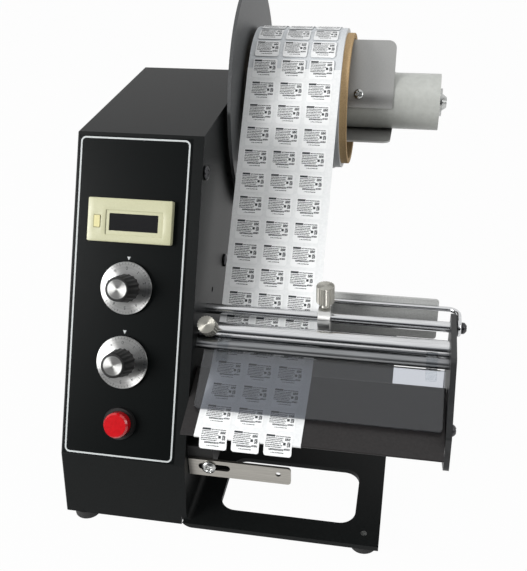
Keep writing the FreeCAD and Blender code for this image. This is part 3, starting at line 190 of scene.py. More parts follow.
# Matt paper: flat and grainless from here. Most of what shows is its even white, and the
# rest is the shadow. The noise spans the sheet once, in clumps of fibre this wide.
studio_paper, tree = new_tree("studio_paper")
ray = add(tree, "ShaderNodeLightPath")
grain = add(tree, "ShaderNodeTexNoise", {"Scale": 2 * paper_half / (paper_clump * mm), "Detail": 2.0})
fibre = add(tree, "ShaderNodeBump", {"Strength": 0.05, "Distance": 0.2 * mm},
            {"Height": grain.outputs["Fac"]})
matt = add(tree, "ShaderNodeBsdfDiffuse", {"Color": linear("#A6A6A4")},
           {"Normal": fibre.outputs["Normal"]})
glow = add(tree, "ShaderNodeEmission", {"Color": linear("#FFFFFF"), "Strength": 1.0})
bounced = add(tree, "ShaderNodeMath", {"operation": "MAXIMUM"},
              {0: ray.outputs["Is Glossy Ray"], 1: ray.outputs["Is Transmission Ray"]})
shown = add(tree, "ShaderNodeMath", {"operation": "MAXIMUM"},
            {0: ray.outputs["Is Camera Ray"], 1: bounced.outputs[0]})
seen = add(tree, "ShaderNodeMath", {"operation": "MULTIPLY", 1: paper_glow},
           {0: shown.outputs[0]})
blend = add(tree, "ShaderNodeMixShader",
            links={0: seen.outputs[0], 1: matt.outputs[0], 2: glow.outputs[0]})
add(tree, "ShaderNodeOutputMaterial", links={"Surface": blend.outputs[0]})

mesh = bmesh.new()
bmesh.ops.create_grid(mesh, x_segments=8, y_segments=8, size=paper_half)
piece("floor", mesh, studio_paper, None, False)


# The housing is a 3 mm side plate that folds into the open base, and a cover bent from
# thin sheet. Both are steel under a baked black powder coat. A zinc plated sheet closes
# the cover from below.
def dress(material, *nodes):
    """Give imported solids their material."""
    for node in nodes:
        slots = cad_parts[node].data.materials
        slots.clear()
        slots.append(material)


def grained(name, size, depth, low, high, settings, rough=None, detail=2.0):
    """A material with a fine grain; its size and depth are in millimetres."""
    material, tree = new_tree(name)
    place = add(tree, "ShaderNodeTexCoord")
    noise = add(tree, "ShaderNodeTexNoise", {"Scale": 1 / (size * mm), "Detail": detail},
                {"Vector": place.outputs["Object"]})
    tint = add(tree, "ShaderNodeValToRGB", {"stops": [(0.3, low), (0.7, high)]},
               {"Fac": noise.outputs["Fac"]})
    bump = add(tree, "ShaderNodeBump", {"Strength": 0.4, "Distance": depth * mm},
               {"Height": noise.outputs["Fac"]})
    links = {"Base Color": tint.outputs["Color"], "Normal": bump.outputs["Normal"]}
    if rough:
        spread = add(tree, "ShaderNodeMapRange", {"To Min": rough[0], "To Max": rough[1]},
                     {"Value": noise.outputs["Fac"]})
        links["Roughness"] = spread.outputs["Result"]
    shader = add(tree, "ShaderNodeBsdfPrincipled", settings, links)
    add(tree, "ShaderNodeOutputMaterial", links={"Surface": shader.outputs["BSDF"]})
    return material


# Powder coat: an orange peel of about half a millimetre breaks the light up, so the black
# stays deep, with a soft satin only at a low angle.
powder_coat = grained("textured_powder_coat", 0.55, 0.05, "#0C0E0E", "#151717",
                      {"Specular IOR Level": 0.12}, (0.36, 0.5), 4.0)
dress(powder_coat, "main_plate", "control_cover")

# Zinc plate: a cold bright metal, a little cloudy from the bath. Its spangle is drawn
# coarser than the real one, to show at this size.
zinc = grained("zinc_plated_steel", 1.6, 0.01, "#A9ABAA", "#C9CAC8", {"Metallic": 1.0},
               (0.2, 0.36), 3.0)
dress(zinc, "bottom_cover")


# Four feet of moulded rubber, two under the cover and two under the base. A zinc plated
# pan head screw in a recess holds each of them.

# Moulded rubber: a dead, dusty black with next to no shine.
rubber = grained("moulded_rubber", 0.9, 0.03, "#141414", "#232322", {"Roughness": 0.72})
dress(rubber, "rubber_feet")
dress(zinc, "foot_screws")


# Two pan head screws go through the side plate into zinc plated hexagon nuts. They are
# stamped steel, blackened in a hot salt bath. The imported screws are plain, so the domed
# heads with their cross recess are made here.
def pan_head(place, outward, radius, high, turn, deep):
    """A domed head with a cross recess, seated at a place in metres, and its shank."""
    rings = 18
    sides = 48
    edge_drop = 0.55
    recess_half = 0.19
    recess_wall = 0.07
    recess_reach = 0.62
    recess_end = 0.12
    recess_depth = 0.7
    mesh = bmesh.new()
    loops = []
    for ring in range(rings + 1):
        reach = radius * ring / rings
        dome = high * (1 - edge_drop * (ring / rings) ** 3)
        loop = []
        for side in range(sides):
            around = 2 * math.pi * side / sides
            x, y = reach * math.cos(around + turn), reach * math.sin(around + turn)
            across, along = sorted((abs(reach * math.cos(around)), abs(reach * math.sin(around))))
            slot = (radius * recess_half - across) / (radius * recess_wall)
            end = (radius * recess_reach - along) / (radius * recess_end)
            sunk = max(0.0, min(1.0, slot)) * max(0.0, min(1.0, end))
            loop.append(mesh.verts.new((x, y, dome - high * recess_depth * sunk)))
        loops.append(loop)
    for share, low in ((1.0, 0.0), (0.5, 0.0), (0.5, -deep)):
        loops.append([mesh.verts.new((v.co.x * share, v.co.y * share, low))
                      for v in loops[rings]])
    for inner, outer in zip(loops, loops[1:]):
        for side in range(sides):
            after = (side + 1) % sides
            mesh.faces.new((inner[side], outer[side], outer[after], inner[after]))
    bmesh.ops.remove_doubles(mesh, verts=mesh.verts, dist=0.0001 * mm)
    upright = Vector((0, 0, 1)).rotation_difference(outward).to_matrix().to_4x4()
    bmesh.ops.transform(mesh, matrix=Matrix.Translation(place) @ upright, verts=mesh.verts)
    return mesh


drawing_origin = Vector((40.55, 133.0, 0.0))


def at(x, y, z):
    """A drawing place in millimetres, moved to the machine's own origin in metres."""
    return (Vector((x, y, z)) - drawing_origin) * mm


plate_face = 3.0
side_heads = (("upper", 82.5, 182.6, 0.3), ("lower", 112.6, 111.3, 0.9))

# Black oxide: bare steel turned dark grey, with a dull oily gleam on the dome.
oxide = grained("black_oxide_steel", 0.5, 0.006, "#3A3A3C", "#565658",
                {"Metallic": 1.0, "Roughness": 0.3})
dress(zinc, "hex_nuts")
for name, y, z, turn in side_heads:
    mesh = pan_head(at(plate_face, y, z), Vector((1, 0, 0)), 4 * mm, 2.3 * mm, turn, 7 * mm)
    head = piece(f"side_head_{name}", mesh, oxide, "housing")
    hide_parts("side_screws")


# The control panel is black polyester film, printed from behind with a thin pale border
# and a small pointer over each dial. It is glued to the sloped face of the cover.
panel_lean = math.radians(28.56)
panel_foot = 43.4
panel_frame = (Matrix.Translation(at(0, 0, panel_foot))
               @ Matrix.Rotation(math.pi / 2 - panel_lean, 4, "X"))
panel_normal = Vector((0, -math.cos(panel_lean), math.sin(panel_lean)))
film_face = 0.3
border_left, border_right = -67.0, -4.4
border_low, border_top = 1.4, 178.2
border_round, border_line, border_ink = 3.0, 0.9, 0.03
dial_column = -35.6
pointer_half, pointer_high, pointer_ink = 1.0, 1.9, 0.04

# Polyester film: smooth and ink black, with a wide faint sheen.
film = grained("printed_polyester_film", 0.25, 0.01, "#070A0A", "#0B0E0E",
               {"Roughness": 0.3, "Specular IOR Level": 0.12})
dress(film, "panel_overlay")


def rounded(left, low, right, top, radius, steps=8):
    """The outline of a rounded rectangle."""
    points = []
    for x, y, start in ((right - radius, top - radius, 0), (left + radius, top - radius, 90),
                        (left + radius, low + radius, 180), (right - radius, low + radius, 270)):
        for step in range(steps + 1):
            angle = math.radians(start + 90 * step / steps)
            points.append((x + radius * math.cos(angle), y + radius * math.sin(angle)))
    return points


def stacked(mesh, levels, place):
    """Loops of equal length joined one to the next; each level is its outline and height."""
    loops = [[mesh.verts.new((x * mm, y * mm, z * mm)) for x, y in outline]
             for outline, z in levels]
    count = len(loops[0])
    for one, two in zip(loops, loops[1:]):
        for k in range(count):
            mesh.faces.new((one[k], one[(k + 1) % count], two[(k + 1) % count], two[k]))
    bmesh.ops.transform(mesh, matrix=place, verts=[v for loop in loops for v in loop])
    return loops


# Screen ink: a thin matt layer of pale grey that stands out against the film.
print_ink = grained("pale_screen_ink", 0.2, 0.004, "#B9BDBD", "#C6CACA", {"Roughness": 0.5})
mesh = bmesh.new()
outer = rounded(border_left, border_low, border_right, border_top, border_round)
inner = rounded(border_left + border_line, border_low + border_line,
                border_right - border_line, border_top - border_line,
                border_round - border_line)
ink_face = film_face + border_ink
stacked(mesh, [(outer, film_face), (outer, ink_face), (inner, ink_face), (inner, film_face)],
        panel_frame)
piece("panel_border", mesh, print_ink, "housing", False)

for name, low in (("length", 111.4), ("speed", 70.6)):
    mesh = bmesh.new()
    outline = [(dial_column - pointer_half, low + pointer_high), (dial_column, low),
               (dial_column + pointer_half, low + pointer_high)]
    loops = stacked(mesh, [(outline, film_face), (outline, film_face + pointer_ink)], panel_frame)
    mesh.faces.new(loops[1])
    piece(f"{name}_pointer", mesh, print_ink, "housing", False)


# The counter snaps into the panel. Its case is moulded ABS: a raised frame round a sunken
# face with two openings, one for the window and one for the reset key. The frame is one
# grid with the openings left out, made thick and rounded.
columns = (-59.3, -55.75, -51.95, -49.0, -16.3, -11.5)
rows = (121.1, 124.9, 128.35, 135.35, 138.3, 144.6)
open_cells = ((1, 2), (3, 1), (3, 2), (3, 3))
bezel_foot = 3.28
bezel_thick = 0.55
bezel_round = 0.3
crease = math.radians(35)

# Cream ABS: a warm, slightly dulled plastic whose rounded edges catch a soft highlight.
cream_abs = grained("moulded_cream_abs", 0.5, 0.008, "#B9B896", "#C3C2A2",
                    {"Roughness": 0.34, "IOR": 1.54})
dress(cream_abs, "counter_case")
mesh = bmesh.new()
grid = [[mesh.verts.new((x * mm, y * mm, bezel_foot * mm)) for y in rows] for x in columns]
for i in range(len(columns) - 1):
    for j in range(len(rows) - 1):
        if (i, j) not in open_cells:
            mesh.faces.new((grid[i][j], grid[i + 1][j], grid[i + 1][j + 1], grid[i][j + 1]))
bmesh.ops.transform(mesh, matrix=panel_frame, verts=mesh.verts)
bezel = piece("counter_bezel", mesh, cream_abs, "housing")
thick = bezel.modifiers.new("thick", "SOLIDIFY")
thick.thickness = bezel_thick * mm
thick.offset = 1
soft = bezel.modifiers.new("soft_edges", "BEVEL")
soft.width = bezel_round * mm
soft.segments = 3
bezel.modifiers.new("creases", "EDGE_SPLIT").split_angle = crease

# Yellow ABS: the same plastic in a stronger colour, polished a little by fingers.
key_abs = grained("moulded_yellow_abs", 0.5, 0.008, "#CFC78E", "#D8D09A", {"Roughness": 0.3})
dress(key_abs, "reset_button")

# Liquid crystal window: grey black with a thin clear gloss over it.
lcd_glass = grained("lcd_window", 0.4, 0.002, "#1A1A1B", "#222223",
                    {"Roughness": 0.1, "Coat Weight": 0.5, "Coat Roughness": 0.05})
dress(lcd_glass, "counter_window")


# Two dials turn over the panel. Each has a skirt of turned aluminium with an etched scale,
# a fluted knob of moulded phenolic with a raised rim, and a turned cap in the rim. They are
# pressed on the shafts of the two potentiometers behind the film.
def turned(name, node, axis, low_colour, high_colour, ring=0.35):
    """Turned metal with rings round an axis through the middle of a node."""
    material, tree = new_tree(name)
    low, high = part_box(node)
    middle = (low + high) / 2
    place = add(tree, "ShaderNodeTexCoord")
    moved = add(tree, "ShaderNodeVectorMath", {"operation": "SUBTRACT", 1: middle},
                {0: place.outputs["Object"]})
    along = add(tree, "ShaderNodeVectorMath", {"operation": "DOT_PRODUCT", 1: axis},
                {0: moved.outputs["Vector"]})
    shift = add(tree, "ShaderNodeVectorMath", {"operation": "SCALE", 0: axis},
                {"Scale": along.outputs["Value"]})
    radial = add(tree, "ShaderNodeVectorMath", {"operation": "SUBTRACT"},
                 {0: moved.outputs["Vector"], 1: shift.outputs["Vector"]})
    reach = add(tree, "ShaderNodeVectorMath", {"operation": "LENGTH"},
                {0: radial.outputs["Vector"]})
    rings = add(tree, "ShaderNodeMath", {"operation": "MULTIPLY", 1: 1 / (ring * mm)},
                {0: reach.outputs["Value"]})
    noise = add(tree, "ShaderNodeTexNoise",
                {"noise_dimensions": "1D", "Scale": 1.0, "Detail": 3.0},
                {"W": rings.outputs["Value"]})
    tone = add(tree, "ShaderNodeValToRGB", {"stops": [(0.3, low_colour), (0.7, high_colour)]},
               {"Fac": noise.outputs["Fac"]})
    bump = add(tree, "ShaderNodeBump", {"Strength": 0.4, "Distance": 0.02 * mm},
               {"Height": noise.outputs["Fac"]})
    sweep = add(tree, "ShaderNodeVectorMath", {"operation": "CROSS_PRODUCT", 1: axis},
                {0: radial.outputs["Vector"]})
    shader = add(tree, "ShaderNodeBsdfPrincipled",
                 {"Metallic": 1.0, "Roughness": 0.34, "Anisotropic": 0.95,
                  "Anisotropic Rotation": 0.25},
                 {"Base Color": tone.outputs["Color"], "Normal": bump.outputs["Normal"],
                  "Tangent": sweep.outputs["Vector"]})
    add(tree, "ShaderNodeOutputMaterial", links={"Surface": shader.outputs["BSDF"]})
    dress(material, node)


knob_top = 16.1
rim_profile = ((6.6, 0.0), (6.7, 0.1), (6.6, 0.86), (6.4, 0.96), (5.35, 0.96), (5.3, 0.8))
skirt_top = 2.7
tick_count = 50
tick_end = 14.1
long_tick = (12.3, 0.09)
short_tick = (13.1, 0.06)
number_reach = 10.9
number_size = 2.6
ink_thick = 0.01

# Black phenolic: hard and dry looking, grey in the light along the flutes.
black_phenolic = grained("moulded_black_phenolic", 0.3, 0.01, "#0E0E0E", "#181818",
                         {"Roughness": 0.5, "Specular IOR Level": 0.3})
dress(black_phenolic, "length_knob", "speed_knob")

# Etched ink: matt dark grey, sunk into the metal.
dial_ink = grained("etched_dial_ink", 0.2, 0.004, "#3A3A3A", "#474747", {"Roughness": 0.5})

# The potentiometers have zinc plated cans.
dress(zinc, "panel_pots")

for name, middle in (("length", 96.0), ("speed", 54.9)):
    # Turned aluminium: fine rings round the middle gather the light into two bright fans.
    # The tool marks are drawn several times too wide, so that they show.
    turned(f"turned_{name}_dial", f"{name}_dial", panel_normal, "#C9C9C7", "#E6E6E4", 0.5)
    turned(f"turned_{name}_cap", f"{name}_knob_cap", panel_normal, "#8E8E8C", "#BDBDBB")

    mesh = bmesh.new()
    circles = []
    for reach, high in rim_profile:
        circle = [(reach * math.cos(math.radians(a)), reach * math.sin(math.radians(a)))
                  for a in range(0, 360, 5)]
        circles.append((circle, high))
    stacked(mesh, circles,
            panel_frame @ Matrix.Translation(Vector((dial_column, middle, knob_top)) * mm))
    rim = piece(f"{name}_knob_rim", mesh, black_phenolic, f"{name}_control")
    rim.modifiers.new("creases", "EDGE_SPLIT").split_angle = crease

    face = panel_frame @ Matrix.Translation(Vector((dial_column, middle, skirt_top)) * mm)
    mesh = bmesh.new()
    for tick in range(tick_count):
        start, half = short_tick if tick % 5 else long_tick
        outline = [(start, -half), (tick_end, -half), (tick_end, half), (start, half)]
        turn = Matrix.Rotation(2 * math.pi * tick / tick_count, 4, "Z")
        loops = stacked(mesh, [(outline, -ink_thick), (outline, 1.5 * ink_thick)], face @ turn)
        mesh.faces.new(loops[1])
    piece(f"{name}_ticks", mesh, dial_ink, f"{name}_control", False)

    for number in range(10):
        angle = math.pi / 2 - 2 * math.pi * number / 10
        letters = bpy.data.curves.new(f"{name}_number_{number}", "FONT")
        letters.body = str(number)
        letters.size = number_size * mm
        letters.extrude = ink_thick * mm
        letters.align_x = "CENTER"
        letters.align_y = "CENTER"
        source = bpy.data.objects.new(f"{name}_number_{number}", letters)
        scene.collection.objects.link(source)
        bpy.context.view_layer.update()
        shape = bpy.data.meshes.new_from_object(
            source.evaluated_get(bpy.context.evaluated_depsgraph_get()))
        bpy.data.objects.remove(source)
        bpy.data.curves.remove(letters)
        spot = Vector((number_reach * math.cos(angle), number_reach * math.sin(angle), 0)) * mm
        shape.transform(face @ Matrix.Translation(spot)
                        @ Matrix.Rotation(angle - math.pi / 2, 4, "Z"))
        shape.materials.clear()
        shape.materials.append(dial_ink)
        mark = bpy.data.objects.new(f"{name}_number_{number}", shape)
        scene.collection.objects.link(mark)
        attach(mark, f"{name}_control")


# The power switch is a round push button in a black moulded body, clipped into the panel
# below the dials. The inlet for its supply is moulded too, and sits in the back wall.

# Red polycarbonate: a deep clear red with a small sharp highlight.
red_cap = grained("moulded_red_polycarbonate", 1.5, 0.004, "#B70510", "#C40A16",
                  {"Roughness": 0.22, "IOR": 1.58, "Coat Weight": 0.3, "Coat Roughness": 0.1})
dress(red_cap, "power_button")
dress(black_phenolic, "power_switch_body", "power_inlet")


# The roll holder turns on a steel spindle that is screwed to the side plate. A steel disc
# stops the roll on the left, and a tube of turned PVC carries three sprung wings that grip
# the core from inside.
def drawn(name, low_colour, high_colour, rough):
    """Metal with fine lines along X from drawing or brushing."""
    line_length = 20.0
    lines_per_mm = 2.8
    scale = (1 / (line_length * mm), lines_per_mm / mm, lines_per_mm / mm)
    material, tree = new_tree(name)
    place = add(tree, "ShaderNodeTexCoord")
    long_way = add(tree, "ShaderNodeMapping", {"Scale": scale},
                   {"Vector": place.outputs["Object"]})
    lines = add(tree, "ShaderNodeTexNoise", {"Scale": 1.0, "Detail": 3.0},
                {"Vector": long_way.outputs["Vector"]})
    tint = add(tree, "ShaderNodeValToRGB", {"stops": [(0.3, low_colour), (0.7, high_colour)]},
               {"Fac": lines.outputs["Fac"]})
    spread = add(tree, "ShaderNodeMapRange", {"To Min": rough, "To Max": rough + 0.14},
                 {"Value": lines.outputs["Fac"]})
    bump = add(tree, "ShaderNodeBump", {"Strength": 0.2, "Distance": 0.01 * mm},
               {"Height": lines.outputs["Fac"]})
    shader = add(tree, "ShaderNodeBsdfPrincipled", {"Metallic": 1.0},
                 {"Base Color": tint.outputs["Color"], "Roughness": spread.outputs["Result"],
                  "Normal": bump.outputs["Normal"]})
    add(tree, "ShaderNodeOutputMaterial", links={"Surface": shader.outputs["BSDF"]})
    return material


roll_y, roll_z = 200.2, 187.6
roll_axis = at(0, roll_y, roll_z)
wing_head_x = 77.6
wing_seat = 18.65
first_wing = 145.2
head_from_wing = 6.3

# Stove enamel: an even dark grey, half matt, with a soft broad shine.
disc_enamel = grained("grey_stove_enamel", 1.0, 0.012, "#3F4142", "#4B4C4D",
                      {"Roughness": 0.46})
dress(disc_enamel, "holder_disc")

# PVC: pale grey and slightly waxy where the tool has smoothed it.
pvc = grained("turned_grey_pvc", 3.0, 0.01, "#B9BBB6", "#C2C4BF", {"Roughness": 0.36, "IOR": 1.53})
dress(pvc, "holder_tube")

# Satin stainless: a flat silver grey with no mirror in it.
satin = grained("satin_stainless_sheet", 0.5, 0.004, "#ABABA9", "#B4B4B2",
                {"Metallic": 0.75, "Roughness": 0.42})
dress(satin, "holder_wings")

# Ground steel: bright, with long bands of light and dark down each rod. The lines of the
# grinding are drawn coarser than they are, so that the bands break up as real ones do.
ground_steel = drawn("ground_steel_rod", "#C2C3C5", "#DCDDDE", 0.1)
dress(ground_steel, "spindle")
dress(zinc, "spindle_end_cap")
dress(oxide, "spindle_screw")
for turn in range(3):
    angle = math.radians(first_wing + head_from_wing + 120 * turn)
    outward = Vector((0, math.cos(angle), math.sin(angle)))
    place = roll_axis + Vector((wing_head_x * mm, 0, 0)) + outward * wing_seat * mm
    mesh = pan_head(place, outward, 3 * mm, 1.7 * mm, 0.4 + turn, 4 * mm)
    head = piece(f"wing_head_{turn}", mesh, zinc, "roll")
    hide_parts("wing_screws")


# The core is a tube wound from kraft board, and the labels' liner is wound on it. The core
# starts where the roll does. It is turned here from its profile, with its cut end a little
# worn and its plies to be seen.
def wound(name, ply, low_colour, high_colour, settings):
    """Sheet wound round the roll's axis; the ply is in millimetres."""
    fibre_clump = 0.66667
    material, tree = new_tree(name)
    place = add(tree, "ShaderNodeTexCoord")
    moved = add(tree, "ShaderNodeVectorMath", {"operation": "SUBTRACT", 1: roll_axis},
                {0: place.outputs["Object"]})
    flat = add(tree, "ShaderNodeVectorMath", {"operation": "MULTIPLY", 1: (0, 1, 1)},
               {0: moved.outputs["Vector"]})
    reach = add(tree, "ShaderNodeVectorMath", {"operation": "LENGTH"},
                {0: flat.outputs["Vector"]})
    turns = add(tree, "ShaderNodeMath", {"operation": "MULTIPLY", 1: 1 / (ply * mm)},
                {0: reach.outputs["Value"]})
    plies = add(tree, "ShaderNodeTexNoise",
                {"noise_dimensions": "1D", "Scale": 1.0, "Detail": 2.0},
                {"W": turns.outputs["Value"]})
    fibres = add(tree, "ShaderNodeTexNoise", {"Scale": 1 / (fibre_clump * mm), "Detail": 4.0},
                 {"Vector": place.outputs["Object"]})
    both = add(tree, "ShaderNodeMix", {"Factor": 0.35},
               {"A": plies.outputs["Fac"], "B": fibres.outputs["Fac"]})
    tint = add(tree, "ShaderNodeValToRGB", {"stops": [(0.35, low_colour), (0.65, high_colour)]},
               {"Fac": both.outputs[0]})
    bump = add(tree, "ShaderNodeBump", {"Strength": 0.4, "Distance": 0.03 * mm},
               {"Height": both.outputs[0]})
    shader = add(tree, "ShaderNodeBsdfPrincipled", settings,
                 {"Base Color": tint.outputs["Color"], "Normal": bump.outputs["Normal"]})
    add(tree, "ShaderNodeOutputMaterial", links={"Surface": shader.outputs["BSDF"]})
    return material


# Wound glassine: cold white plies on the cut side of the roll, a few drawn as one.
dress(wound("wound_glassine", 0.3, "#D0D4D7", "#EDF0F2", {"Roughness": 0.5}), "label_roll")

# Kraft board: warm brown and quite dry, with its plies as rings on the cut end.
kraft = wound("wound_kraft_board", 0.55, "#A98A60", "#DBBD90", {"Roughness": 0.85})

core_left, core_right = 11.2, 72.5
core_outer, core_bore = 41.26, 38.0
worn = 0.3
core_sides = 96
profile = [(core_left, core_outer), (core_right - worn, core_outer),
           (core_right, core_outer - 1.2 * worn), (core_right, core_bore + 0.4),
           (core_right - worn, core_bore), (core_left, core_bore)]
mesh = bmesh.new()
loops = []
for step in range(core_sides):
    angle = 2 * math.pi * step / core_sides
    loops.append([mesh.verts.new(roll_axis + Vector((x, reach * math.cos(angle),
                                                     reach * math.sin(angle))) * mm)
                  for x, reach in profile])
for one, two in zip(loops, loops[1:] + loops[:1]):
    for k in range(len(profile)):
        after = (k + 1) % len(profile)
        mesh.faces.new((one[k], one[after], two[after], two[k]))
core = piece("kraft_core", mesh, kraft, "roll")
core.modifiers.new("edges", "EDGE_SPLIT").split_angle = math.radians(30)
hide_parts("roll_core")


# The liner runs from the roll under the guide rod, over the deck and round its edge, down
# to the rollers. It is glassine, a paper pressed smooth between hot rolls.

# Glassine: pale and faintly cloudy, with a low even gloss.
glassine = grained("calendered_glassine", 1.5, 0.006, "#E6E8E8", "#F0F1F1",
                   {"Roughness": 0.42, "IOR": 1.48}, None, 4.0)
dress(glassine, "label_web")


# The labels are coated paper with a small print of plain marks. Three stand in each row,
# die cut with round corners, on the liner's outer side. They follow the liner's path, and
# the first row peels off straight over the edge of the deck.
label_wide, label_long, label_round = 14.8, 12.4, 1.4
label_thick = 0.04
column_pitch, row_pitch, first_left = 17.25, 14.35, 14.2
row_limit = 40
peeled_length = 7.4
dashes_per_mm = 2.8

# Each mark: its middle across and along the label, half its width and height, and whether
# it is broken into dashes as small type is.
label_marks = ((3.0, 11.1, 2.3, 0.6, False), (9.6, 11.0, 4.0, 0.3, True),
               (5.3, 9.8, 4.6, 0.28, True), (5.1, 8.8, 4.4, 0.28, True),
               (5.4, 7.8, 4.7, 0.28, True), (4.9, 6.8, 4.2, 0.28, True),
               (5.3, 5.8, 4.6, 0.28, True), (5.0, 4.8, 4.3, 0.28, True),
               (12.2, 9.4, 1.4, 0.8, True), (10.8, 6.8, 0.7, 0.75, False),
               (13.0, 6.6, 0.9, 1.3, True), (6.6, 3.5, 3.9, 0.5, True),
               (12.3, 4.0, 1.6, 0.5, True), (7.2, 1.9, 3.4, 0.25, True))

# Coated paper: a clean half matt white, brighter than the liner under it. The print is
# laid out in millimetres from the label's own corner.
label_paper, tree = new_tree("printed_label_paper")
spot = add(tree, "ShaderNodeUVMap", {"uv_map": "millimetres"})
axes = add(tree, "ShaderNodeSeparateXYZ", links={"Vector": spot.outputs["UV"]})
dashes = add(tree, "ShaderNodeTexNoise", {"Scale": dashes_per_mm, "Detail": 1.0},
             {"Vector": spot.outputs["UV"]})
broken = add(tree, "ShaderNodeMath", {"operation": "GREATER_THAN", 1: 0.43},
             {0: dashes.outputs["Fac"]})
ink = None
for across, along, half_wide, half_high, dashed in label_marks:
    beside = add(tree, "ShaderNodeMath", {"operation": "COMPARE", 1: across, 2: half_wide},
                 {0: axes.outputs["X"]})
    level = add(tree, "ShaderNodeMath", {"operation": "COMPARE", 1: along, 2: half_high},
                {0: axes.outputs["Y"]})
    both = add(tree, "ShaderNodeMath", {"operation": "MULTIPLY"},
               {0: beside.outputs[0], 1: level.outputs[0]})
    if dashed:
        both = add(tree, "ShaderNodeMath", {"operation": "MULTIPLY"},
                   {0: both.outputs[0], 1: broken.outputs[0]})
    if ink:
        both = add(tree, "ShaderNodeMath", {"operation": "MAXIMUM"},
                   {0: ink.outputs[0], 1: both.outputs[0]})
    ink = both
tone = add(tree, "ShaderNodeMix",
           {"data_type": "RGBA", 6: linear("#F4F5F5"), 7: linear("#303437")},
           {"Factor": ink.outputs[0]})
shader = add(tree, "ShaderNodeBsdfPrincipled", {"Roughness": 0.5, "IOR": 1.45},
             {"Base Color": tone.outputs[2]})
add(tree, "ShaderNodeOutputMaterial", links={"Surface": shader.outputs["BSDF"]})

deck_lean = math.radians(18.03)
deck_edge_y, deck_edge_z = -3.2, 70.3
liner_half = 0.125
liner_lift = 0.275
edge_radius = 0.75
bend_along, bend_rise = 42.2, 14.0
guide_rod = (66.6, 105.1, -3.275)
roll_reach = 44.425
roll_points = 359
bend_points = 12


def on_deck(distance, rise):
    """The y and z of a place up the deck from its edge, and above its face."""
    return (deck_edge_y + distance * math.cos(deck_lean) - rise * math.sin(deck_lean),
            deck_edge_z + distance * math.sin(deck_lean) + rise * math.cos(deck_lean))


def web_route(side):
    """The circles that one side of the web bends round, and its runs between them."""
    circles = [(roll_y, roll_z, roll_reach), guide_rod,
               (*on_deck(bend_along, bend_rise), liner_lift - bend_rise),
               (*on_deck(edge_radius, -edge_radius), edge_radius + liner_lift)]
    circles = [(y, z, radius - side) for y, z, radius in circles]
    runs = []
    for first, second in zip(circles, circles[1:]):
        gap_y, gap_z = second[0] - first[0], second[1] - first[1]
        heading = (math.atan2(gap_z, gap_y)
                   - math.asin((second[2] - first[2]) / math.hypot(gap_y, gap_z)))
        left_y, left_z = -math.sin(heading), math.cos(heading)
        runs.append([(y - radius * left_y, z - radius * left_z)
                     for y, z, radius in (first, second)])
    return circles, runs


def fine_route(side):
    """Close points along the web, from the back of the roll to the deck's edge."""
    circles, runs = web_route(side)
    y, z, radius = circles[0]
    leave = math.atan2(runs[0][0][1] - z, runs[0][0][0] - y)
    path = [(y + radius * math.cos(leave - math.radians(a)),
             z + radius * math.sin(leave - math.radians(a))) for a in range(roll_points, 0, -1)]
    for k, (start, end) in enumerate(runs):
        path += [start, end]
        if k == len(runs) - 1:
            break
        y, z, radius = circles[k + 1]
        one = math.atan2(end[1] - z, end[0] - y)
        two = math.atan2(runs[k + 1][0][1] - z, runs[k + 1][0][0] - y)
        sweep = (two - one) % (2 * math.pi)
        sweep -= 2 * math.pi if radius < 0 else 0
        path += [(y + abs(radius) * math.cos(one + sweep * t / bend_points),
                  z + abs(radius) * math.sin(one + sweep * t / bend_points))
                 for t in range(1, bend_points)]
    return path


def label_path(rise):
    """The route of the labels, this far above the liner, and the length at each point."""
    peel_steps, peel_step = 17, 0.5
    first_droop, more_droop, last_droop = 18, 14, 60
    path = fine_route(-liner_half - rise)
    edge = len(path) - 1
    for step in range(1, peel_steps + 1):
        droop = math.radians(min(first_droop + step * more_droop, last_droop))
        path.append((path[-1][0] - peel_step * math.cos(droop),
                     path[-1][1] - peel_step * math.sin(droop)))
    marks = [0.0]
    for (y0, z0), (y1, z1) in zip(path, path[1:]):
        marks.append(marks[-1] + math.hypot(y1 - y0, z1 - z0))
    return path, marks, marks[edge]


def on_path(path, marks, mark):
    """The place at a length along a path."""
    k = min(max(next((i for i, m in enumerate(marks) if m > mark), len(marks) - 1), 1),
            len(marks) - 1)
    t = (mark - marks[k - 1]) / (marks[k] - marks[k - 1])
    return [a + (b - a) * t for a, b in zip(path[k - 1], path[k])]


def label_rows(name, body, rise, on_roll):
    """Rows of labels; those on the roll lie a little lower, so that they turn free."""
    path, marks, edge_mark = label_path(rise)
    roll_end = marks[roll_points]
    mesh = bmesh.new()
    layer = mesh.loops.layers.uv.new("millimetres")
    corner_steps = [0, 0.1, 0.35, 0.8, 1.6]
    middle = label_long - 2 * corner_steps[-1]
    stations = corner_steps + [corner_steps[-1] + middle * t / 12 for t in range(1, 12)]
    stations += [label_long - s for s in reversed(corner_steps)]
    for row in range(row_limit):
        front = edge_mark + peeled_length - row * row_pitch
        if front - label_long < 0 or (front <= roll_end) != on_roll:
            continue
        for column in range(3):
            left = first_left + column * column_pitch
            lines = []
            for station in stations:
                depth = min(station, label_long - station)
                drop = max(label_round ** 2 - (label_round - depth) ** 2, 0)
                inset = label_round - math.sqrt(drop) if depth < label_round else 0
                y, z = on_path(path, marks, front - station)
                sides = (left + inset, left + label_wide - inset)
                lines.append([(mesh.verts.new(at(x, y, z)), x - left, station) for x in sides])
            for one, two in zip(lines, lines[1:]):
                corners = (one[0], one[1], two[1], two[0])
                face = mesh.faces.new([corner[0] for corner in corners])
                for loop, corner in zip(face.loops, corners):
                    loop[layer].uv = corner[1:]
    made = piece(name, mesh, label_paper, body)
    thick = made.modifiers.new("paper", "SOLIDIFY")
    thick.thickness = label_thick * mm
    thick.offset = 0
    made.modifiers.new("cut_edges", "EDGE_SPLIT").split_angle = math.radians(30)


label_rows("labels_on_web", "housing", 0.09, False)
label_rows("labels_on_roll", "roll", 0.02, True)


